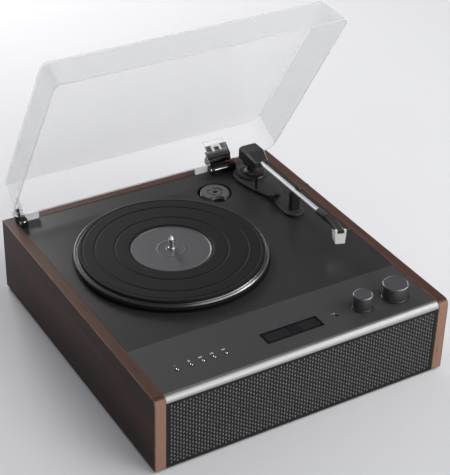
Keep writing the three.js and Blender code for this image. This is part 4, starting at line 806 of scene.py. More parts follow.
class RECORD_PLAYER_OT_stage(Step):
    """Sets the floor, the lamps and the camera"""
    bl_idname = "record_player.stage"
    bl_label = "Stage"

    def build(self, scene):
        settings = scene.record_player_stage
        self.floor(settings.floor[:])
        self.backdrop(scene, settings.floor[:])
        warm = (1.0, 0.985, 0.97)
        lamps = [
            ("top", (1.2, -1.2, 1.75), (2.4, 1.6), 27, warm),
            ("front", (0.5, -2.4, 0.8), (2.2, 1.3), 19, warm),
            ("back", (0.0, 2.2, 1.05), (0.9, 0.55), 33, (1.0, 0.99, 0.98)),
            ("right", (1.95, -0.85, 1.35), (0.7, 0.5), 14, (0.97, 0.985, 1.0)),
        ]
        for name, place, size, power, colour in lamps:
            lamp = bpy.data.lights.new(name, "AREA")
            lamp.shape = "RECTANGLE"
            lamp.size, lamp.size_y = size
            lamp.energy = power * settings.light
            lamp.color = colour
            obj = new_object(name, lamp)
            obj.location = place
            obj.rotation_euler = (Vector((0, 0, 0.1)) - Vector(place)).to_track_quat("-Z", "Y").to_euler()
        self.camera(scene)
        scene.view_settings.view_transform = "Standard"

    def floor(self, pale):
        """A wide floor that keeps the shadow and fades into the backdrop."""
        ground = Finish("floor", Roughness=0.85)
        far = ground.rings(0, -FRONT).between(0.8, 2.3)
        ground.set(Base_Color=ground.shade(pale, 0.985 + ground.noise(5) * 0.03))
        glow = ground.node("ShaderNodeEmission", None, {"Color": pale, "Strength": 1.0})
        mixed = ground.node("ShaderNodeMixShader", None,
                            {0: far, 1: Value(ground, ground.shader.outputs[0]), 2: glow})
        ground.put(ground.output.inputs["Surface"], mixed)
        floor = plain_object("floor", turned([(0, 0), (1200, 0), (5200, 0)], (0, -FRONT, 0), 64), tidy=False)
        floor.data.materials.append(ground.material)

    def backdrop(self, scene, pale):
        """A pale backdrop for what is seen, mirrored or seen through, and a dim light for the rest."""
        scene.world = bpy.data.worlds.new("studio")
        scene.world.use_nodes = True
        studio = Nodes()
        studio.tree = scene.world.node_tree
        studio.tree.nodes.clear()
        sees, mirrored, through = (studio.node("ShaderNodeLightPath", result=f"Is {kind} Ray")
                                   for kind in ("Camera", "Glossy", "Transmission"))
        direction = studio.node("ShaderNodeTexCoord", result="Generated")
        overhead = studio.parts(direction)[2].between(0.22, 0.56)
        shown = studio.node("ShaderNodeBackground", None, {"Color": pale, "Strength": 1 - overhead * 0.86})
        lit = studio.node("ShaderNodeBackground", None, {"Color": (0.9, 0.93, 1.0, 1), "Strength": 0.3})
        mixed = studio.node("ShaderNodeMixShader", None, {0: sees + mirrored + through, 1: lit, 2: shown})
        output = studio.tree.nodes.new("ShaderNodeOutputWorld")
        studio.put(output.inputs["Surface"], mixed)

    def camera(self, scene):
        azimuth, elevation, roll, reach, frame_height = -0.545, 0.572, 0.027, 1404.97, 475
        back = Vector((math.sin(azimuth) * math.cos(elevation), -math.cos(azimuth) * math.cos(elevation),
                       math.sin(elevation)))
        right = Vector((math.cos(azimuth), math.sin(azimuth), 0))
        up = back.cross(right)
        right, up = (right * math.cos(roll) + up * math.sin(roll), up * math.cos(roll) - right * math.sin(roll))
        eye = bpy.data.cameras.new("camera")
        eye.sensor_width = 36
        eye.lens = reach * eye.sensor_width / frame_height
        eye.clip_end = 50
        scene.camera = new_object("camera", eye)
        place = Vector((-770.68, -1294.19, 1105.88)) * MM
        scene.camera.matrix_world = Matrix.Translation(place) @ Matrix((right, up, back)).transposed().to_4x4()


class RECORD_PLAYER_OT_case(Step):
    """Makes the wooden case and its feet"""
    bl_idname = "record_player.case"
    bl_label = "Case"

    def build(self, scene):
        settings = scene.record_player_case
        edge = settings.edge / MM
        wood = walnut("walnut", settings.dark[:], settings.light[:], 1.0)
        back_wood = walnut("walnut_back", settings.dark[:], settings.light[:], 0.0)

        # Faces on the rounded edges of the sides take the painted edge highlight.
        def rounded_part(centre, normal):
            return int(max(abs(part) for part in normal) < 0.97 and abs(normal.x) > 0.1)
        for side in ("left", "right"):
            dress(f"side_{side}", f"panel_{side}", [wood, walnut_edge(settings.light[:])], "case",
                  edge, 25, 3, rounded_part)
        dress("back_board", "panel_back", back_wood, "case", edge / 2, 32)
        dress("bottom_board", "panel_floor", board(tone(52, 46, 42)), "case", 0.4, 50)
        for node in FEET:
            x, y, radius, _, top = upright(node)
            pad = [(0, FOOT_RECESS), (4, FOOT_RECESS, 0.3), (4, 0, 0.5), (radius - 1, 0, 0.8),
                   (radius, 1, 0.8), (radius, top), (0, top)]
            make("pad_" + node[5:], lathe(pad, (x, y, 0), 48), rubber(tone(30, 30, 31)), "case",
                 node)


class RECORD_PLAYER_OT_deck(Step):
    """Makes the deck, the control panel and the front trim"""
    bl_idname = "record_player.deck"
    bl_label = "Deck"

    def build(self, scene):
        settings = scene.record_player_deck
        edge, seam, side = settings.edge / MM, settings.seam / MM / 2, 0.15
        self.deck(settings, edge, seam, side)
        self.panel(settings, edge, seam, side)
        low, high = span("front_trim")
        nose = arc(8, low.z, 8, 180, 90, 18) + arc(8, low.z, 5.5, 90, 180, 12)
        make("trim", slab([nose], low.x + 0.1, high.x - 0.1, 0.25, axis="X"),
             brushed("trim_metal", settings.trim[:], 0.42), "case", "front_trim", 40)

    def deck(self, settings, edge, seam, side):
        """The deck with the pan under the platter and the adapter's recess."""
        low, high = span("deck_plate")
        platter, adapter = middle("spindle"), middle("single_adapter")
        pan_floor, pan_wall, bore = 94.6, 2.5, 8
        outside = WELL_RADIUS + pan_wall

        def recess(grow):
            """A round recess with a finger notch at its front."""
            return notched(adapter, 23.5 + grow, 18.0, 8.6 + grow, outwards=True)
        outline = oblong(low.x + side, high.x - side, low.y + seam, high.y - side)
        plate = slab([outline, circle(platter.x, platter.y, WELL_RADIUS, 144), recess(0.7)],
                     DECK_UNDER, DECK_TOP, edge)
        pan = lathe([(bore, pan_floor), (WELL_RADIUS, pan_floor, 1.5), (WELL_RADIUS, DECK_UNDER + 0.5),
                     (outside, DECK_UNDER + 0.5), (outside, pan_floor - pan_wall, 1.5),
                     (bore, pan_floor - pan_wall)], (platter.x, platter.y, 0), 144, ring=True)
        floor = slab([recess(2)], DECK_TOP - 5.6, DECK_TOP - 3.6, 0)
        wall = slab([recess(2), recess(0.8)], DECK_TOP - 4, DECK_TOP - 0.35, 0.1)
        make("deck", joined(plate, pan), paint("deck_paint", settings.deck[:], 0.3), "case",
             "deck_plate")
        # The recess's floor and wall are near-black: painted shade in the recess.
        make("adapter_cup", joined(floor, wall), rubber(PAINTED_SHADE_BLACK), "case")

    def panel(self, settings, edge, seam, side):
        """The control panel with its openings, and shallow wells round the knobs."""
        low, high = span("control_panel")
        lens_low, lens_high = span("display_lens")
        window = oblong(lens_low.x + 2, lens_high.x - 2, lens_low.y + 2, lens_high.y - 2, 0.6, 3)
        holes = [circle(x, KEY_Y, 2.0, 24) for x in (SENSOR_X, *(middle(key).x for key in KEYS))]
        outline = oblong(low.x + side, high.x - side, low.y + 0.1, high.y - seam)
        wells = []
        for node in ("knob_volume", "knob_tuning"):
            x, y, radius, _, _ = upright(node)
            wells.append(circle(x, y, radius + 1.4, 72))
        skin = slab([outline, window, *holes, *wells], high.z - 0.9, high.z, edge, lower_edge=0)
        base = slab([outline, window, *holes], DECK_UNDER, high.z - 0.85, 0)
        make("panel", joined(skin, base), paint("panel_paint", settings.panel[:], 0.33), "case",
             "control_panel")


class RECORD_PLAYER_OT_grille(Step):
    """Weaves the grille over its pan"""
    bl_idname = "record_player.grille"
    bl_label = "Grille"

    def build(self, scene):
        settings = scene.record_player_grille
        dress("grille_pan", "grille", paint("grille_paint", tone(10, 10, 11), 0.55), "case",
              0.25, 32)
        low, high = span("grille")
        border = 4
        columns = int((high.x - low.x - 2 * border) / (settings.across / MM))
        rows = int((high.z - low.z - 2 * border) / (settings.up / MM))
        colour = settings.colour[:]
        # The level strands get the strands' colour at 6%: a painted shade between the upright knuckles.
        shade = [part * 0.06 for part in colour[:3]] + [1.0]
        place = Vector(((low.x + high.x) / 2 * MM, (1.0 + FRONT) * MM, (low.z + high.z) / 2 * MM))
        rule, proud = self.weave(), settings.bulge
        for name, size, parity, coat in (
                ("strands_upright", (1.22 * MM, 1.5 * MM, proud), 0.0, strand("strand", colour)),
                ("strands_level", (1.75 * MM, 0.95 * MM, proud * 0.5), 1.0, strand("strand_below", shade))):
            obj = rule.use(new_object(name, bpy.data.meshes.new(name)), {
                "Columns": columns, "Rows": rows, "Pitch across": settings.across, "Pitch up": settings.up,
                "Knuckle": size, "Parity": parity, "Middle": place, "Look": coat})
            obj.data.polygons.foreach_set("use_smooth", [True] * len(obj.data.polygons))
            settle(obj, coat, "case")

    def weave(self):
        """Knuckles on every other crossing of a grid, set upright."""
        rule = Rule("weave")
        count_x, count_z = rule.given("Columns", "Int"), rule.given("Rows", "Int")
        step_x, step_z = rule.given("Pitch across", "Float"), rule.given("Pitch up", "Float")
        size, parity = rule.given("Knuckle", "Vector"), rule.given("Parity", "Float")
        middle_point, look = rule.given("Middle", "Vector"), rule.given("Look", "Material")
        grid = rule.node("GeometryNodeMeshGrid", None, {
            "Size X": (count_x - 1) * step_x, "Size Y": (count_z - 1) * step_z,
            "Vertices X": count_x, "Vertices Y": count_z})
        index = rule.node("GeometryNodeInputIndex")
        column, row = (index / count_z + 0.001).floor(), index % count_z
        chosen = abs((column + row) % 2.0 - parity) < 0.5
        ball = rule.node("GeometryNodeMeshUVSphere", None, {"Segments": 8, "Rings": 4, "Radius": 1.0})
        vary = rule.node("FunctionNodeRandomValue", {"data_type": "FLOAT"}, {2: 0.9, 3: 1.08, "Seed": 7}, 1)
        grown = rule.node("ShaderNodeVectorMath", {"operation": "SCALE"}, {0: size, "Scale": vary})
        knuckles = rule.node("GeometryNodeInstanceOnPoints", None, {
            "Points": grid, "Selection": chosen, "Instance": ball, "Scale": grown})
        upright = rule.node("GeometryNodeTransform", None, {
            "Geometry": knuckles, "Translation": middle_point, "Rotation": (math.pi / 2, 0, 0)})
        rule.end(upright, look)
        return rule


class RECORD_PLAYER_OT_platter(Step):
    """Makes the platter, its mat, the spindle and the adapter"""
    bl_idname = "record_player.platter"
    bl_label = "Platter"

    def build(self, scene):
        settings = scene.record_player_platter
        x, y, _ = middle("spindle")
        centre = (x, y, 0)
        _, _, radius, under, _ = upright("platter")
        _, _, mat_radius, top, mat_top = upright("platter_mat")
        skirt, disc, seat, lip = top - 7.4, top - 2.6, top - 0.9, mat_radius + 0.7
        collar, inner = disc - 9.6, mat_radius - 0.4
        body = [(3.7, top, 0), (inner, top), (inner, seat), (lip, seat), (lip, top), (lip + 0.6, top, 0.15),
                (lip + 1.5, seat, 0.15), (lip + 1.9, seat, 0.15), (lip + 2.2, top), (radius - 1.6, top),
                (radius, top - 1.6), (radius, skirt + 0.8, 0.3), (radius - 0.8, skirt, 0.3),
                (radius - 4, skirt, 0.4), (radius - 4, disc, 1), (60, disc, 0.5), (60, under, 0.3),
                (57, under, 0.3), (57, disc, 0.5), (12, disc, 0.5), (12, collar, 0.3), (3.7, collar, 0)]
        make("platter_body", lathe(body, centre, settings.steps, ring=True, soft=0.2),
             [spun("platter_metal", settings.metal[:], 0.25, 1.0, x, y),
              paint("platter_side", tone(9, 9, 10), 0.5)],
             "platter_set", "platter", choose=lambda c, n: int(c.z < top - 2.4))
        # A near-black ring on the deck round the platter: a painted shadow under its rim.
        shadow_ring = [circle(x, y, radius + 2.2, 144), circle(x, y, WELL_RADIUS + 0.2, 144)]
        make("platter_gap", slab(shadow_ring, DECK_TOP - 0.02, DECK_TOP + 0.06, 0), rubber(PAINTED_SHADE_BLACK), "case")

        label_top, label = top + 1.2, 52.4
        rim, hollow, crest = label_top + 0.4, label_top - 0.22, label_top - 0.1
        plate = [(3.7, top, 0), (label, top, 0), (label, rim), (label - 1.7, rim),
                 (label - 2.4, label_top - 0.2, 0.2), (19.6, label_top - 0.32, 2.0), (18.6, crest),
                 (17.6, label_top - 0.06), (16.8, crest), (16.2, hollow), (7.4, hollow), (6.8, label_top),
                 (3.7, label_top, 0)]
        make("centre_disc", lathe(plate, centre, settings.steps, ring=True, soft=0.3),
             [spun("disc_metal", settings.label[:], 0.34, 0.7, x, y),
              polished("disc_ring", tone(116, 116, 118), 0.42)],
             "platter_set", choose=lambda c, n: int(math.hypot(c.x - x, c.y - y) > label - 2.2))

        groove, inner = settings.groove / MM, 52.8
        mat = [(inner, top, 0), (mat_radius, top, 0), (mat_radius, mat_top - 1, 0.5),
               (mat_radius - 1, mat_top, 0.5)]
        for ring, depth in ((mat_radius - 5.2, 0.35), (98.5, 0.6), (73.0, 0.6)):
            mat += [(ring + groove, mat_top), (ring + groove / 2, mat_top - depth),
                    (ring - groove / 2, mat_top - depth), (ring - groove, mat_top)]
        mat += [(inner + 2.6, mat_top, 0.3), (inner + 1.2, mat_top - 0.7, 0.3), (inner, mat_top - 0.7, 0.2)]
        make("mat", lathe(mat, centre, settings.steps, ring=True, soft=0.25, fine=2),
             mat_rubber(settings.rubber[:], x, y), "platter_set", "platter_mat", 25)

        low, high = span("spindle")
        pin = [(0, low.z), (3.6, low.z, 0.6), (3.6, collar - 1), (6.5, collar - 1, 0.3), (6.5, collar, 0.3),
               (3.6, collar), (3.6, label_top), (4.6, label_top), (4.6, label_top + 2, 0.5),
               (3.6, label_top + 2, 0.2), (3.6, high.z - 5, 1.6), (1.2, high.z, 1.0), (0, high.z)]
        make("spindle_pin", lathe(pin, centre, 48, fine=5),
             polished("spindle_steel", tone(204, 204, 206), 0.14), "platter_set", "spindle")
        self.adapter()

    def adapter(self):
        """The adapter for large-holed records: a flange, a crown with a finger bite, a boss and three ribs."""
        spot = middle("single_adapter")
        low, high = span("single_adapter")
        bottom, top, hole, ring = low.z, high.z, 3.75, 11.5
        flange = slab([notched(spot, 20.3, 22.0, 9.4, False), circle(spot.x, spot.y, hole, 32)],
                      bottom, bottom + 2.2, 0.5)
        crown = slab([notched(spot, 19.4, 22.0, 10.0, False), circle(spot.x, spot.y, ring - 0.1, 64)],
                     bottom + 2.1, top, 0.6, lower_edge=0)
        boss = lathe([(hole, bottom + 1), (hole, top, 0.4), (7.4, top, 0.5), (7.4, bottom + 3.3, 0.4),
                      (ring, bottom + 3.3), (ring, bottom + 1)], (spot.x, spot.y, 0), 64, ring=True)
        ribs = []
        for turn in (90, 210, 330):
            a = math.radians(turn)
            out, over = Vector((math.cos(a), math.sin(a))), Vector((-math.sin(a), math.cos(a)))
            corners = [(7.0, -1.3), (11.9, -1.3), (11.9, 1.3), (7.0, 1.3)]
            ribs.append(slab([[tuple(Vector((spot.x, spot.y)) + out * p + over * q) for p, q in corners]],
                             bottom + 3.2, top - 0.5, 0.25, lower_edge=0))
        make("adapter_disc", joined(flange, crown, boss, *ribs),
             spun("adapter_plastic", tone(104, 104, 106), 0.3, 0.4, spot.x, spot.y), "adapter",
             "single_adapter")


class RECORD_PLAYER_OT_controls(Step):
    """Makes the knobs, keys, display and printed marks"""
    bl_idname = "record_player.controls"
    bl_label = "Controls"

    def build(self, scene):
        settings = scene.record_player_controls
        for node, body in (("knob_volume", "volume"), ("knob_tuning", "tuning")):
            self.knob(settings, node, body)
        for i, node in enumerate(KEYS, 1):
            self.key_cap(i, node)
        low, high = span("display_lens")
        window = (low.x + 2.3, high.x - 2.3, low.y + 2.3, high.y - 2.3)
        self.display(settings, low, high, *window)
        self.trims(*window, paint("panel_paint", scene.record_player_deck.panel[:], 0.33))
        self.marks(settings)

    def knob(self, settings, node, body):
        """A turned knob with a groove near its foot and a shallow dish on top."""
        x, y, radius, bottom, top = upright(node)
        foot, shaft, wall, waist = DECK_TOP - 0.5, 5.4, radius - 2.4, radius - 0.35
        profile = [(0, bottom), (3, bottom), (3, foot + 0.9, 0), (shaft, foot + 0.9), (shaft, top - 4, 0.5),
                   (wall, top - 4, 0.5), (wall, foot), (radius, foot, 0.4), (radius, foot + 1.1, 0.15),
                   (waist, foot + 1.3, 0.1), (waist, foot + 1.7, 0.1), (radius, foot + 1.9, 0.15),
                   (radius, top - 0.9, 0.35), (radius - 0.9, top), (radius - 1.5, top, 0.15),
                   (radius - 1.8, top - 0.3, 0.2), (0, top - 0.3)]
        make(node[5:] + "_knob", lathe(profile, (x, y, 0), soft=0.3),
             [brushed_round("knob_side", settings.knob[:]), spun("knob_cap", settings.cap[:], 0.34, 0.9, x, y)],
             body, node, choose=lambda c, n: int(c.z > top - 1.4 and n.z > 0.3))

    def key_cap(self, i, node):
        """A key cap with its collar under the panel."""
        x, y, _, bottom, top = upright(node)
        centre, foot = (x, y, 0), bottom + 0.15
        cap = [(0, foot), (1.8, foot, 0.2), (1.8, DECK_UNDER - 1.2), (3.2, DECK_UNDER - 1.2, 0.2),
               (3.2, DECK_UNDER, 0.2), (1.8, DECK_UNDER), (1.8, top - 0.5, 0.4), (1.3, top, 0.5), (0, top)]
        make(f"key_cap_{i}", lathe(cap, centre, 32, fine=4), chrome(), f"key_{i}", node)

    def display(self, settings, low, high, x0, x1, y0, y1):
        """The display's glass, and the sensor's small window."""
        glass = joined(slab([oblong(x0, x1, y0, y1, 0.5, 3)], DECK_UNDER - 1.4, high.z, 0.35),
                       slab([oblong(low.x, high.x, low.y, high.y)], low.z, DECK_UNDER, 0))
        make("display_window", glass, display_glass(settings.glass[:], x0, x1, y0, y1), "case",
             "display_lens")
        sensor = [(0, DECK_UNDER - 1), (2.0, DECK_UNDER - 1), (2.0, high.z + 0.35), (0, high.z + 0.7)]
        make("sensor_window", lathe(sensor, (SENSOR_X, KEY_Y, 0), 32, soft=0.2), polished_black(), "case")

    def trims(self, x0, x1, y0, y1, panel_paint):
        """The rings round the keys' holes, and the frame round the display."""
        ring = [(1.95, DECK_TOP - 0.6), (3.3, DECK_TOP - 0.6), (3.3, DECK_TOP + 0.12, 0.1),
                (2.4, DECK_TOP + 0.25, 0.1), (1.95, DECK_TOP)]
        for i, node in enumerate(KEYS, 1):
            x, y, _ = middle(node)
            make(f"key_ring_{i}", lathe(ring, (x, y, 0), 36, ring=True), polished_black(), "case")
        outer, inner = oblong(x0 - 1.0, x1 + 1.0, y0 - 1.0, y1 + 1.0, 1.0, 3), oblong(x0, x1, y0, y1, 0.4, 3)
        make("display_frame", slab([outer, inner], DECK_TOP - 0.2, DECK_TOP + 0.3, 0.25, lower_edge=0),
             panel_paint, "case")

    def marks(self, settings):
        """Small generic signs behind the keys, printed on the panel."""
        z, row, h = DECK_TOP, KEY_Y + 7.6, 1.3
        xs = [middle(key).x for key in KEYS]

        def printed(*outlines):
            return slab(outlines, z, z + 0.04, 0)

        def bar(x, wide=0.6):
            return printed(oblong(x - wide / 2, x + wide / 2, row - h, row + h))

        def arrow(x, way):
            return printed([(x - way, row - h), (x + way, row), (x - way, row + h)])
        signs = joined(
            printed(circle(xs[1], row, 1.5, 24), circle(xs[1], row, 1.0, 24)), bar(xs[1], 0.5),
            arrow(xs[2] - 0.9, -1), arrow(xs[2] + 0.9, -1), bar(xs[2] - 2.1),
            arrow(xs[3] - 0.9, 1), bar(xs[3] + 0.7), bar(xs[3] + 1.6),
            arrow(xs[4] - 0.9, 1), arrow(xs[4] + 0.9, 1), bar(xs[4] + 2.1),
            printed(circle(64.2, KEY_Y + 4.6, 0.9, 16)), printed(oblong(60.2, 62.6, KEY_Y + 4.3, KEY_Y + 4.9)))
        make("printed_marks", signs, plastic("mark_ink", settings.mark[:], 0.5), "case")
        lamp = [(0, z - 0.2), (0.75, z - 0.2), (0.75, z + 0.2), (0, z + 0.3)]
        make("power_lamp", lathe(lamp, (xs[0], row, 0), 20, soft=0.1), lamp_mark(tone(176, 84, 62)), "case")


class RECORD_PLAYER_OT_arm(Step):
    """Makes the tonearm with its cartridge"""
    bl_idname = "record_player.arm"
    bl_label = "Tonearm"

    def build(self, scene):
        settings = scene.record_player_arm
        body = plastic("arm_plastic", settings.body[:], 0.32)
        dress("yoke", "arm_yoke", plastic("yoke_plastic", BLACK, 0.5), "arm_swivel")
        mains = [Vector(n).normalized() for n in (
            (1, 0, 0), (-1, 0, 0), (0, 0, 1), (0, 0, -1), (0, 1, 0), (0, -1, 0), (0, -0.4, 0.9),
            (0.7, 0, 0.7), (-0.7, 0, 0.7), (0, 0.4, 0.9), (-0.97, -0.22, 0), (0.97, -0.22, 0),
            (0.7, 0.7, 0), (-0.7, 0.7, 0))]

        # Upward bevel faces that lie along no main face take a light plastic: a painted highlight along the
        # housing's edges.
        def corner(c, n):
            return int(n.z > 0.1 and max(n.dot(main) for main in mains) < 0.988)
        dress("housing", "arm_housing", [body, plastic("arm_corner", tone(112, 112, 113), 0.3)], "arm",
              settings.edge / MM, 20, 3, corner)
        low, high = span("arm_tube")
        x, z, radius = (low.x + high.x) / 2, (low.z + high.z) / 2, (high.x - low.x) / 2
        tube = [(2.3, low.y), (radius, low.y), (radius, high.y), (2.3, high.y)]
        make("tube", lathe(tube, (x, 0, z), 48, "Y", ring=True, soft=0.15), tube_metal(tone(240, 240, 242)),
             "arm", "arm_tube")
        low, high = span("counterweight")
        radius = (high.x - low.x) / 2
        weight = [(3.4, low.y), (radius, low.y, 0.8), (radius, high.y, 0.8), (3.4, high.y)]
        make("weight", lathe(weight, (x, 0, z), 64, "Y", ring=True),
             brushed_round("weight_metal", tone(52, 52, 53)), "arm", "counterweight")
        nose_x, nose_y, slant, shell_half = 144.5, 151, math.radians(20), 9.0

        def finger_lift(c, n):
            across = (c.x - nose_x) * math.cos(slant) - (c.y - nose_y) * math.sin(slant)
            return int(across > shell_half)
        dress("shell", "headshell", [body, polished("lift_metal", tone(120, 120, 122), 0.3)], "arm",
              0.35, choose=finger_lift)
        dress("cartridge_body", "cartridge", plastic("cartridge_plastic", settings.cartridge[:], 0.22), "arm",
              0.45, 30, 3)
        dress("needle", "stylus", plastic("needle_plastic", tone(190, 60, 48), 0.3), "arm",
              0.15, 40)


class RECORD_PLAYER_OT_arm_base(Step):
    """Makes the plinth, the rest, its clip, the lift and its lever"""
    bl_idname = "record_player.arm_base"
    bl_label = "Arm base"

    def build(self, scene):
        black = black_plastic()
        x, y, _ = middle("arm_yoke")
        z0, z1 = DECK_TOP, DECK_TOP + 4
        turret = lathe([(9.2, z1 - 0.5), (20, z1 - 0.5), (20, z1 + 1.5, 0.4), (18.5, z1 + 3, 0.6),
                        (9.2, z1 + 3, 0.4)], (x, y, 0), 72, ring=True)
        stem_reach, stem_turn = 42, math.radians(22)
        stem = (x - stem_reach * math.sin(stem_turn), y - stem_reach * math.cos(stem_turn), 0)
        boss = lathe([(2.4, z0), (5.5, z0), (5.5, z1 + 0.02, 0.5), (2.4, z1 + 0.02, 0.3)], stem, 36, ring=True)
        pivot_y, pivot_z = y - 73, z1 + 4
        lugs = []
        for side in (-1, 1):
            lug_x = x - 8 + side * 3.9
            lug = arc(pivot_y, pivot_z, 3, 0, 180, 16) + [(pivot_y - 3, z1 - 0.5), (pivot_y + 3, z1 - 0.5)]
            lugs.append(slab([lug, circle(pivot_y, pivot_z, 1.3, 20)], lug_x - 1.5, lug_x + 1.5, 0.3, axis="X"))
        base = slab([self.outline(x, y, middle("arm_rest").y)], z0, z1, 1.3, 4, lower_edge=0)
        # Sloping and upright faces take black plastic, a painted shade along the plinth's edge; the turret,
        # boss and lugs above the base are black plastic.
        make("plinth", joined(base, turret, boss, *lugs),
             [plastic("plinth_plastic", tone(44, 44, 45), 0.4), black], "case", "arm_plinth",
             choose=lambda c, n: int(n.z < 0.8 or c.z > z1 + 0.6))
        dress("rest_post", "arm_rest", black, "case", 0.5, steps=3)
        dress("rest_hook", "rest_clip", plastic("hook_plastic", tone(62, 62, 63), 0.36), "clip",
              0.3, 40)
        dress("lift_arc", "lift_bar", black, "lift", 0.4)
        dress("lever_arm", "cue_lever", black, "lever", 0.35)

    def outline(self, x, y, rest_y):
        """The plinth from above: wide round the arm, a waist, and a round pad under the rest."""
        wide, pad, waist = 26.5, 14.0, 9.5
        waist_y = (y + rest_y) / 2 - pad

        def curve(a, b, c, steps=18):
            return [tuple(Vector(a) * (1 - t) ** 2 + Vector(b) * 2 * t * (1 - t) + Vector(c) * t ** 2)
                    for t in (k / steps for k in range(1, steps + 1))]
        outline = arc(x, y, wide, 0, 180, 48)
        outline += curve((x - wide, y), (x - wide, y - wide), (x - waist, waist_y))
        outline += curve((x - waist, waist_y), (x - pad, rest_y + pad), (x - pad, rest_y))
        outline += arc(x, rest_y, pad, 180, 360, 32)[1:]
        outline += curve((x + pad, rest_y), (x + pad, rest_y + pad), (x + waist, waist_y))
        return outline + curve((x + waist, waist_y), (x + wide, y - wide), (x + wide, y))[:-1]


class RECORD_PLAYER_OT_cover(Step):
    """Makes the clear cover, its hinges and the two guide plates"""
    bl_idname = "record_player.cover"
    bl_label = "Cover"
    wide, front, back, rim, height, wall = 203.0, 99.0, 414.0, 108.5, 46.5, 2.5
    drafts, corners, crown = (5.0, 20.0, 6.0), (12.0, 16.0), 4.0

    def build(self, scene):
        settings = scene.record_player_cover
        clear, rim_highlight = clear_plastic(settings.clear[:], settings.veil), clear_edge(settings.clear[:])
        joint = next(j for j in frame["record"]["behaviour"]["joints"] if j["name"] == "cover_hinge")
        self.axis_y, self.axis_z = joint["pos_m"][1] / MM - FRONT, joint["pos_m"][2] / MM
        self.opening = math.radians(-joint["range_deg"][1])
        blocks = {"right": span("hinge_block_right"), "left": span("hinge_block_left")}
        self.shell(settings, clear, rim_highlight, blocks)
        self.leaves(clear, blocks["right"])
        for side, (low, high) in blocks.items():
            self.block(side, low, high)
        # The guide plates wear the rim's finish all over: a painted highlight.
        for side in ("left", "right"):
            dress(f"{side}_guide", f"guide_{side}", rim_highlight, "case")

    def open_up(self, point):
        """Turns a point from the shut cover's place to the open one's."""
        y, z = point.y - self.axis_y, point.z - self.axis_z
        return Vector((point.x, self.axis_y + y * math.cos(self.opening) - z * math.sin(self.opening),
                       self.axis_z + y * math.sin(self.opening) + z * math.cos(self.opening)))

    def level(self, rise, inwards, ease=0.0):
        """A loop round the cover at a height, a distance in from its outer face."""
        share, steps = rise / self.height, self.steps
        x = self.wide - self.drafts[0] * share - inwards - ease
        y0 = self.front + self.drafts[1] * share + inwards + ease
        y1 = self.back - self.drafts[2] * share - inwards - ease
        r_front, r_back = (max(corner - inwards - ease, self.crown / 2) for corner in self.corners)
        loop = (arc(x - r_back, y1 - r_back, r_back, 0, 90, steps)
                + arc(-x + r_back, y1 - r_back, r_back, 90, 180, steps)
                + arc(-x + r_front, y0 + r_front, r_front, 180, 270, steps)
                + arc(x - r_front, y0 + r_front, r_front, 270, 360, steps))
        return [(a, b, self.rim + rise) for a, b in loop]

    def crowned(self, inwards, top, radius, steps=6):
        return [self.level(top - radius * (1 - math.sin(t)), inwards, radius * (1 - math.cos(t)))
                for t in (math.pi / 2 * k / steps for k in range(steps + 1))]

    def shell(self, settings, clear, rim_highlight, blocks):
        """The clear shell, with its rim in a painted highlight and a notch over each hinge block."""
        self.steps, wall = settings.steps, self.wall
        outer = [self.level(0, 0.5), self.level(0.15, 0.15), self.level(0.5, 0)]
        outer += self.crowned(0, self.height, self.crown)
        inner = [self.level(0, wall - 0.5), self.level(0.15, wall - 0.15), self.level(0.5, wall)]
        inner += self.crowned(wall, self.height - wall, self.crown - wall)

        # Faces at the rim take the edge finish: a painted highlight.
        def at_rim(c, n):
            shut = (self.axis_z - (c.y - self.axis_y) * math.sin(self.opening)
                    + (c.z - self.axis_z) * math.cos(self.opening))
            return int(shut < self.rim + 0.6)
        cover = make("cover_shell", moved(loft(inner[::-1] + outer), self.open_up), [clear, rim_highlight],
                     "cover_set", "cover", 35, choose=at_rim)
        play, leaf_left = 1.2, -191.0
        for x0, x1 in ((blocks["right"][0].x, blocks["right"][1].x), (leaf_left, blocks["left"][1].x)):
            notch = slab([oblong(x0 - play, x1 + play, self.back - 8, self.back + 1)],
                         self.rim - 1, self.rim + 15, 0)
            cut(cover, moved(notch, self.open_up))

    def leaves(self, clear, right):
        """The moving leaves, the spring clip on the right one, and the clear frame round it."""
        x0, x1 = right[0].x - 0.5, right[1].x - 5
        z0, z1, bar, stands_off = 16.4, 34.0, 1.4, 2.4

        def face(x0, x1, z0, z1, proud):
            """One face of a bar, that far off the cover's rear wall."""
            return [(x, self.back - self.drafts[2] * z / self.height - self.wall + proud, self.rim + z)
                    for x, z in ((x0, z0), (x1, z0), (x1, z1), (x0, z1))]
        bars = [loft([face(*sides, 0.3), face(*sides, -stands_off)]) for sides in (
            (x0, x1, z0, z0 + bar), (x0, x1, z1 - bar, z1),
            (x0, x0 + bar, z0 + bar, z1 - bar), (x1 - bar, x1, z0 + bar, z1 - bar))]
        make("clip_window", moved(joined(*bars), self.open_up), clear, "cover_set")
        narrow = slab([oblong(x0 - 2, x0 + 4, self.back - 12, self.back - 0.5)],
                      self.rim + 17.2, self.rim + z1, 0)
        dress("right_leaf", "hinge_leaf_right", paint("hinge_paint", tone(22, 22, 23), 0.3), "cover_set",
              cuts=[moved(narrow, self.open_up)])
        dress("left_leaf", "hinge_leaf_left", plastic("leaf_plastic", tone(206, 206, 208), 0.3), "cover_set")
        low, high = span("spring_clip")
        x0, x1, z0, z1, leg = low.x + 1.5, high.x + 1.5, self.rim + 16.3, self.rim + 26.5, 3.6
        loop = eased([(x0, z0), (x0 + leg, z0), (x0 + leg, z1 - leg, 1.0), (x1 - leg, z1 - leg, 1.0),
                      (x1 - leg, z0), (x1, z0), (x1, z1, 3.0), (x0, z1, 3.0)], 0.5, ring=True)
        make("steel_clip", moved(slab([loop], self.back - 8.6, self.back - 5.9, 0.4, axis="Y"), self.open_up),
             polished("clip_steel", tone(236, 236, 238), 0.42), "cover_set", "spring_clip")

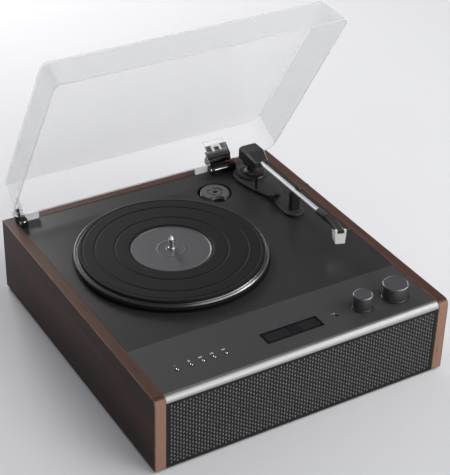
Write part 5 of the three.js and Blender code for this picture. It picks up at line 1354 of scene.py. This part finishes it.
    def block(self, side, low, high):
        """A hinge block with three grooves, the head of its pin and the stop pin across it."""
        radius, pivot_y, groove_z, pin_z = 5, low.y + 5, 112.6, 111.6
        grooves = []
        for turn, drop in ((0, 3.4), (28, 0), (62, 0)):
            a = math.radians(180 - turn)
            groove = circle(pivot_y + radius * math.cos(a), groove_z + radius * math.sin(a) - drop, 0.75, 10)
            grooves.append(slab([groove], low.x + 1.6, high.x - 1.6, 0.3, 2, axis="X"))
        dress(f"{side}_block", f"hinge_block_{side}", polished_black(), "case", 0.5,
              cuts=grooves)
        head = [(0, low.x - 0.9), (2.2, low.x - 0.9, 0.4), (2.6, low.x - 0.4, 0.2), (2.6, low.x + 0.3),
                (0, low.x + 0.3)]
        make(f"{side}_pin_head", lathe(head, (0, pivot_y, pin_z), 32, "X"), chrome(), "case")
        share, rise = 0.62, math.radians(28)
        far = low.x + share * (high.x - low.x)
        pin = [(0, low.x + 2.5), (1.15, low.x + 2.5, 0.5), (1.15, far, 0.5), (0, far)]
        centre = (0, pivot_y - radius * math.cos(rise), groove_z + radius * math.sin(rise))
        make(f"{side}_stop_pin", lathe(pin, centre, 20, "X"), chrome(), "case")


class RECORD_PLAYER_OT_back(Step):
    """Makes the sockets at the back"""
    bl_idname = "record_player.back"
    bl_label = "Back"

    def build(self, scene):
        dress("sockets_plate", "socket_plate", black_plastic(), "case", 0.4)
        dress("inlet", "power_inlet", black_plastic(), "case")
        dress("jacks", "phono_jacks", brass(), "case", 0.2)
        x, _, z = middle("phono_jacks")
        face = span("socket_plate")[1].y
        ring = [(4.1, face), (6.2, face), (6.2, face + 1.2, 0.5), (4.1, face + 1.2, 0.3)]
        for name, side, colour in (("left", 7.5, tone(214, 212, 206)), ("right", -7.5, tone(150, 34, 30))):
            make(f"jack_ring_{name}", lathe(ring, (x + side, 0, z), 36, "Y", ring=True),
                 plastic(f"ring_{name}", colour, 0.35), "case")


class RECORD_PLAYER_OT_inside(Step):
    """Finishes the pieces inside the case"""
    bl_idname = "record_player.inside"
    bl_label = "Inside"

    def build(self, scene):
        looks = {
            ("baffle",): board(tone(120, 98, 74)),
            ("speaker_left", "speaker_right"): paint("basket_paint", tone(40, 40, 42), 0.5),
            ("speaker_cone_left", "speaker_cone_right"): rubber(tone(34, 33, 33)),
            ("spindle_bearing", "motor_pulley"): brass(),
            ("motor",): polished("steel", tone(176, 176, 178), 0.3),
            ("drive_belt",): rubber(tone(30, 30, 31)),
            ("encoder_volume", "encoder_tuning"): plastic("grey_plastic", tone(128, 128, 130), 0.36),
            ("control_board", "main_board"): circuit(tone(24, 74, 48)),
        }
        for nodes, look in looks.items():
            for node in nodes:
                for slot in frame["nodes"][node].material_slots:
                    slot.material = look


class RECORD_PLAYER_OT_fasteners(Step):
    """Sets the screws at the back and below"""
    bl_idname = "record_player.fasteners"
    bl_label = "Fasteners"

    def build(self, scene):
        head, rule = self.head(), self.rule()
        low, high = span("socket_plate")
        plate = [(x, high.y, z) for x in (low.x + 2.9, high.x - 2.9) for z in (low.z + 2.9, high.z - 2.9)]
        low, high = span("panel_floor")
        sides = (low.x + 9, high.x - 9)
        below = [(x, y, low.z) for x in (sides[0], 0, sides[1]) for y in (low.y + 12, high.y - 10)]
        below += [(x, (low.y + high.y) / 2, low.z) for x in sides]
        feet = [(middle(node).x, middle(node).y, FOOT_RECESS) for node in FEET]
        steel = polished("screw_steel", tone(150, 150, 152), 0.28)
        for name, places, size, turn in (
                ("plate_screws", plate, 0.62, -math.pi / 2), ("floor_screws", below, 1.0, math.pi),
                ("foot_screws", feet, 0.9, math.pi)):
            screws = rule.use(plain_object(name, (places, []), tidy=False), {
                "Size": size, "Turn": (turn, 0, 0), "Head": head, "Look": steel})
            settle(smooth(screws, 30), steel, "case")
        bpy.data.objects.remove(head)

    def rule(self):
        """A head on each point, turned out of the wall and by chance about itself."""
        rule = Rule("screws")
        size, turn = rule.given("Size", "Float"), rule.given("Turn", "Vector")
        pattern, look = rule.given("Head", "Object"), rule.given("Look", "Material")
        places = Value(rule, rule.entry.outputs[0])
        shape = rule.node("GeometryNodeObjectInfo", {"transform_space": "ORIGINAL"}, {"Object": pattern},
                          "Geometry")
        spin = rule.node("FunctionNodeRandomValue", {"data_type": "FLOAT"}, {2: 0.0, 3: 3.0, "Seed": 3}, 1)
        about = rule.node("ShaderNodeCombineXYZ", None, {"Z": spin})
        set_in = rule.node("GeometryNodeInstanceOnPoints", None, {
            "Points": places, "Instance": shape, "Rotation": turn, "Scale": size})
        spun_in = rule.node("GeometryNodeRotateInstances", None, {
            "Instances": set_in, "Rotation": about, "Local Space": True})
        rule.end(spun_in, look)
        return rule

    def head(self):
        """A low domed head with a cross recess, pointing up."""
        outline = []
        for quarter in range(4):
            a = math.radians(90 * quarter)
            for x, y in ((1.75, -0.35), (1.75, 0.35), (0.35, 0.35)):
                outline.append((x * math.cos(a) - y * math.sin(a), x * math.sin(a) + y * math.cos(a)))
        top = slab([circle(0, 0, 2.6, 24), outline], 0.4, 1.1, 0.15, 1, lower_edge=0)
        rim = turned([(0, 0), (3.1, 0), (3.1, 0.45), (2.55, 0.95), (2.5, 0.4), (0, 0.4)], (0, 0, 0), 24)
        return plain_object("screw_head", joined(top, rim), front=0)


class RECORD_PLAYER_PT_pieces(bpy.types.Panel):
    """Lists the record player's pieces"""
    bl_label = "Record player"
    bl_space_type = "VIEW_3D"
    bl_region_type = "UI"
    bl_category = "Record player"

    def draw(self, context):
        for operator in STEPS:
            name = operator.bl_idname.split(".")[1]
            self.layout.operator(operator.bl_idname)
            if name in GROUPS:
                group = getattr(context.scene, "record_player_" + name)
                for key in group.bl_rna.properties.keys():
                    if key not in ("rna_type", "name"):
                        self.layout.prop(group, key)


STEPS = [
    RECORD_PLAYER_OT_stage, RECORD_PLAYER_OT_case, RECORD_PLAYER_OT_deck, RECORD_PLAYER_OT_grille,
    RECORD_PLAYER_OT_platter, RECORD_PLAYER_OT_controls, RECORD_PLAYER_OT_arm, RECORD_PLAYER_OT_arm_base,
    RECORD_PLAYER_OT_cover, RECORD_PLAYER_OT_back, RECORD_PLAYER_OT_inside, RECORD_PLAYER_OT_fasteners,
]
GROUPS = {
    "stage": StageSettings, "case": CaseSettings, "deck": DeckSettings, "grille": GrilleSettings,
    "platter": PlatterSettings, "controls": ControlSettings, "arm": ArmSettings, "cover": CoverSettings,
}


def register():
    for name, group in GROUPS.items():
        bpy.utils.register_class(group)
        setattr(bpy.types.Scene, "record_player_" + name, PointerProperty(type=group))
    for kind in (*STEPS, RECORD_PLAYER_PT_pieces):
        bpy.utils.register_class(kind)


def unregister():
    for kind in (RECORD_PLAYER_PT_pieces, *STEPS):
        bpy.utils.unregister_class(kind)
    for name, group in GROUPS.items():
        delattr(bpy.types.Scene, "record_player_" + name)
        bpy.utils.unregister_class(group)


def main():
    register()
    for operator in STEPS:
        getattr(bpy.ops.record_player, operator.bl_idname.split(".")[1])()
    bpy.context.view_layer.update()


if __name__ == "__main__":
    main()
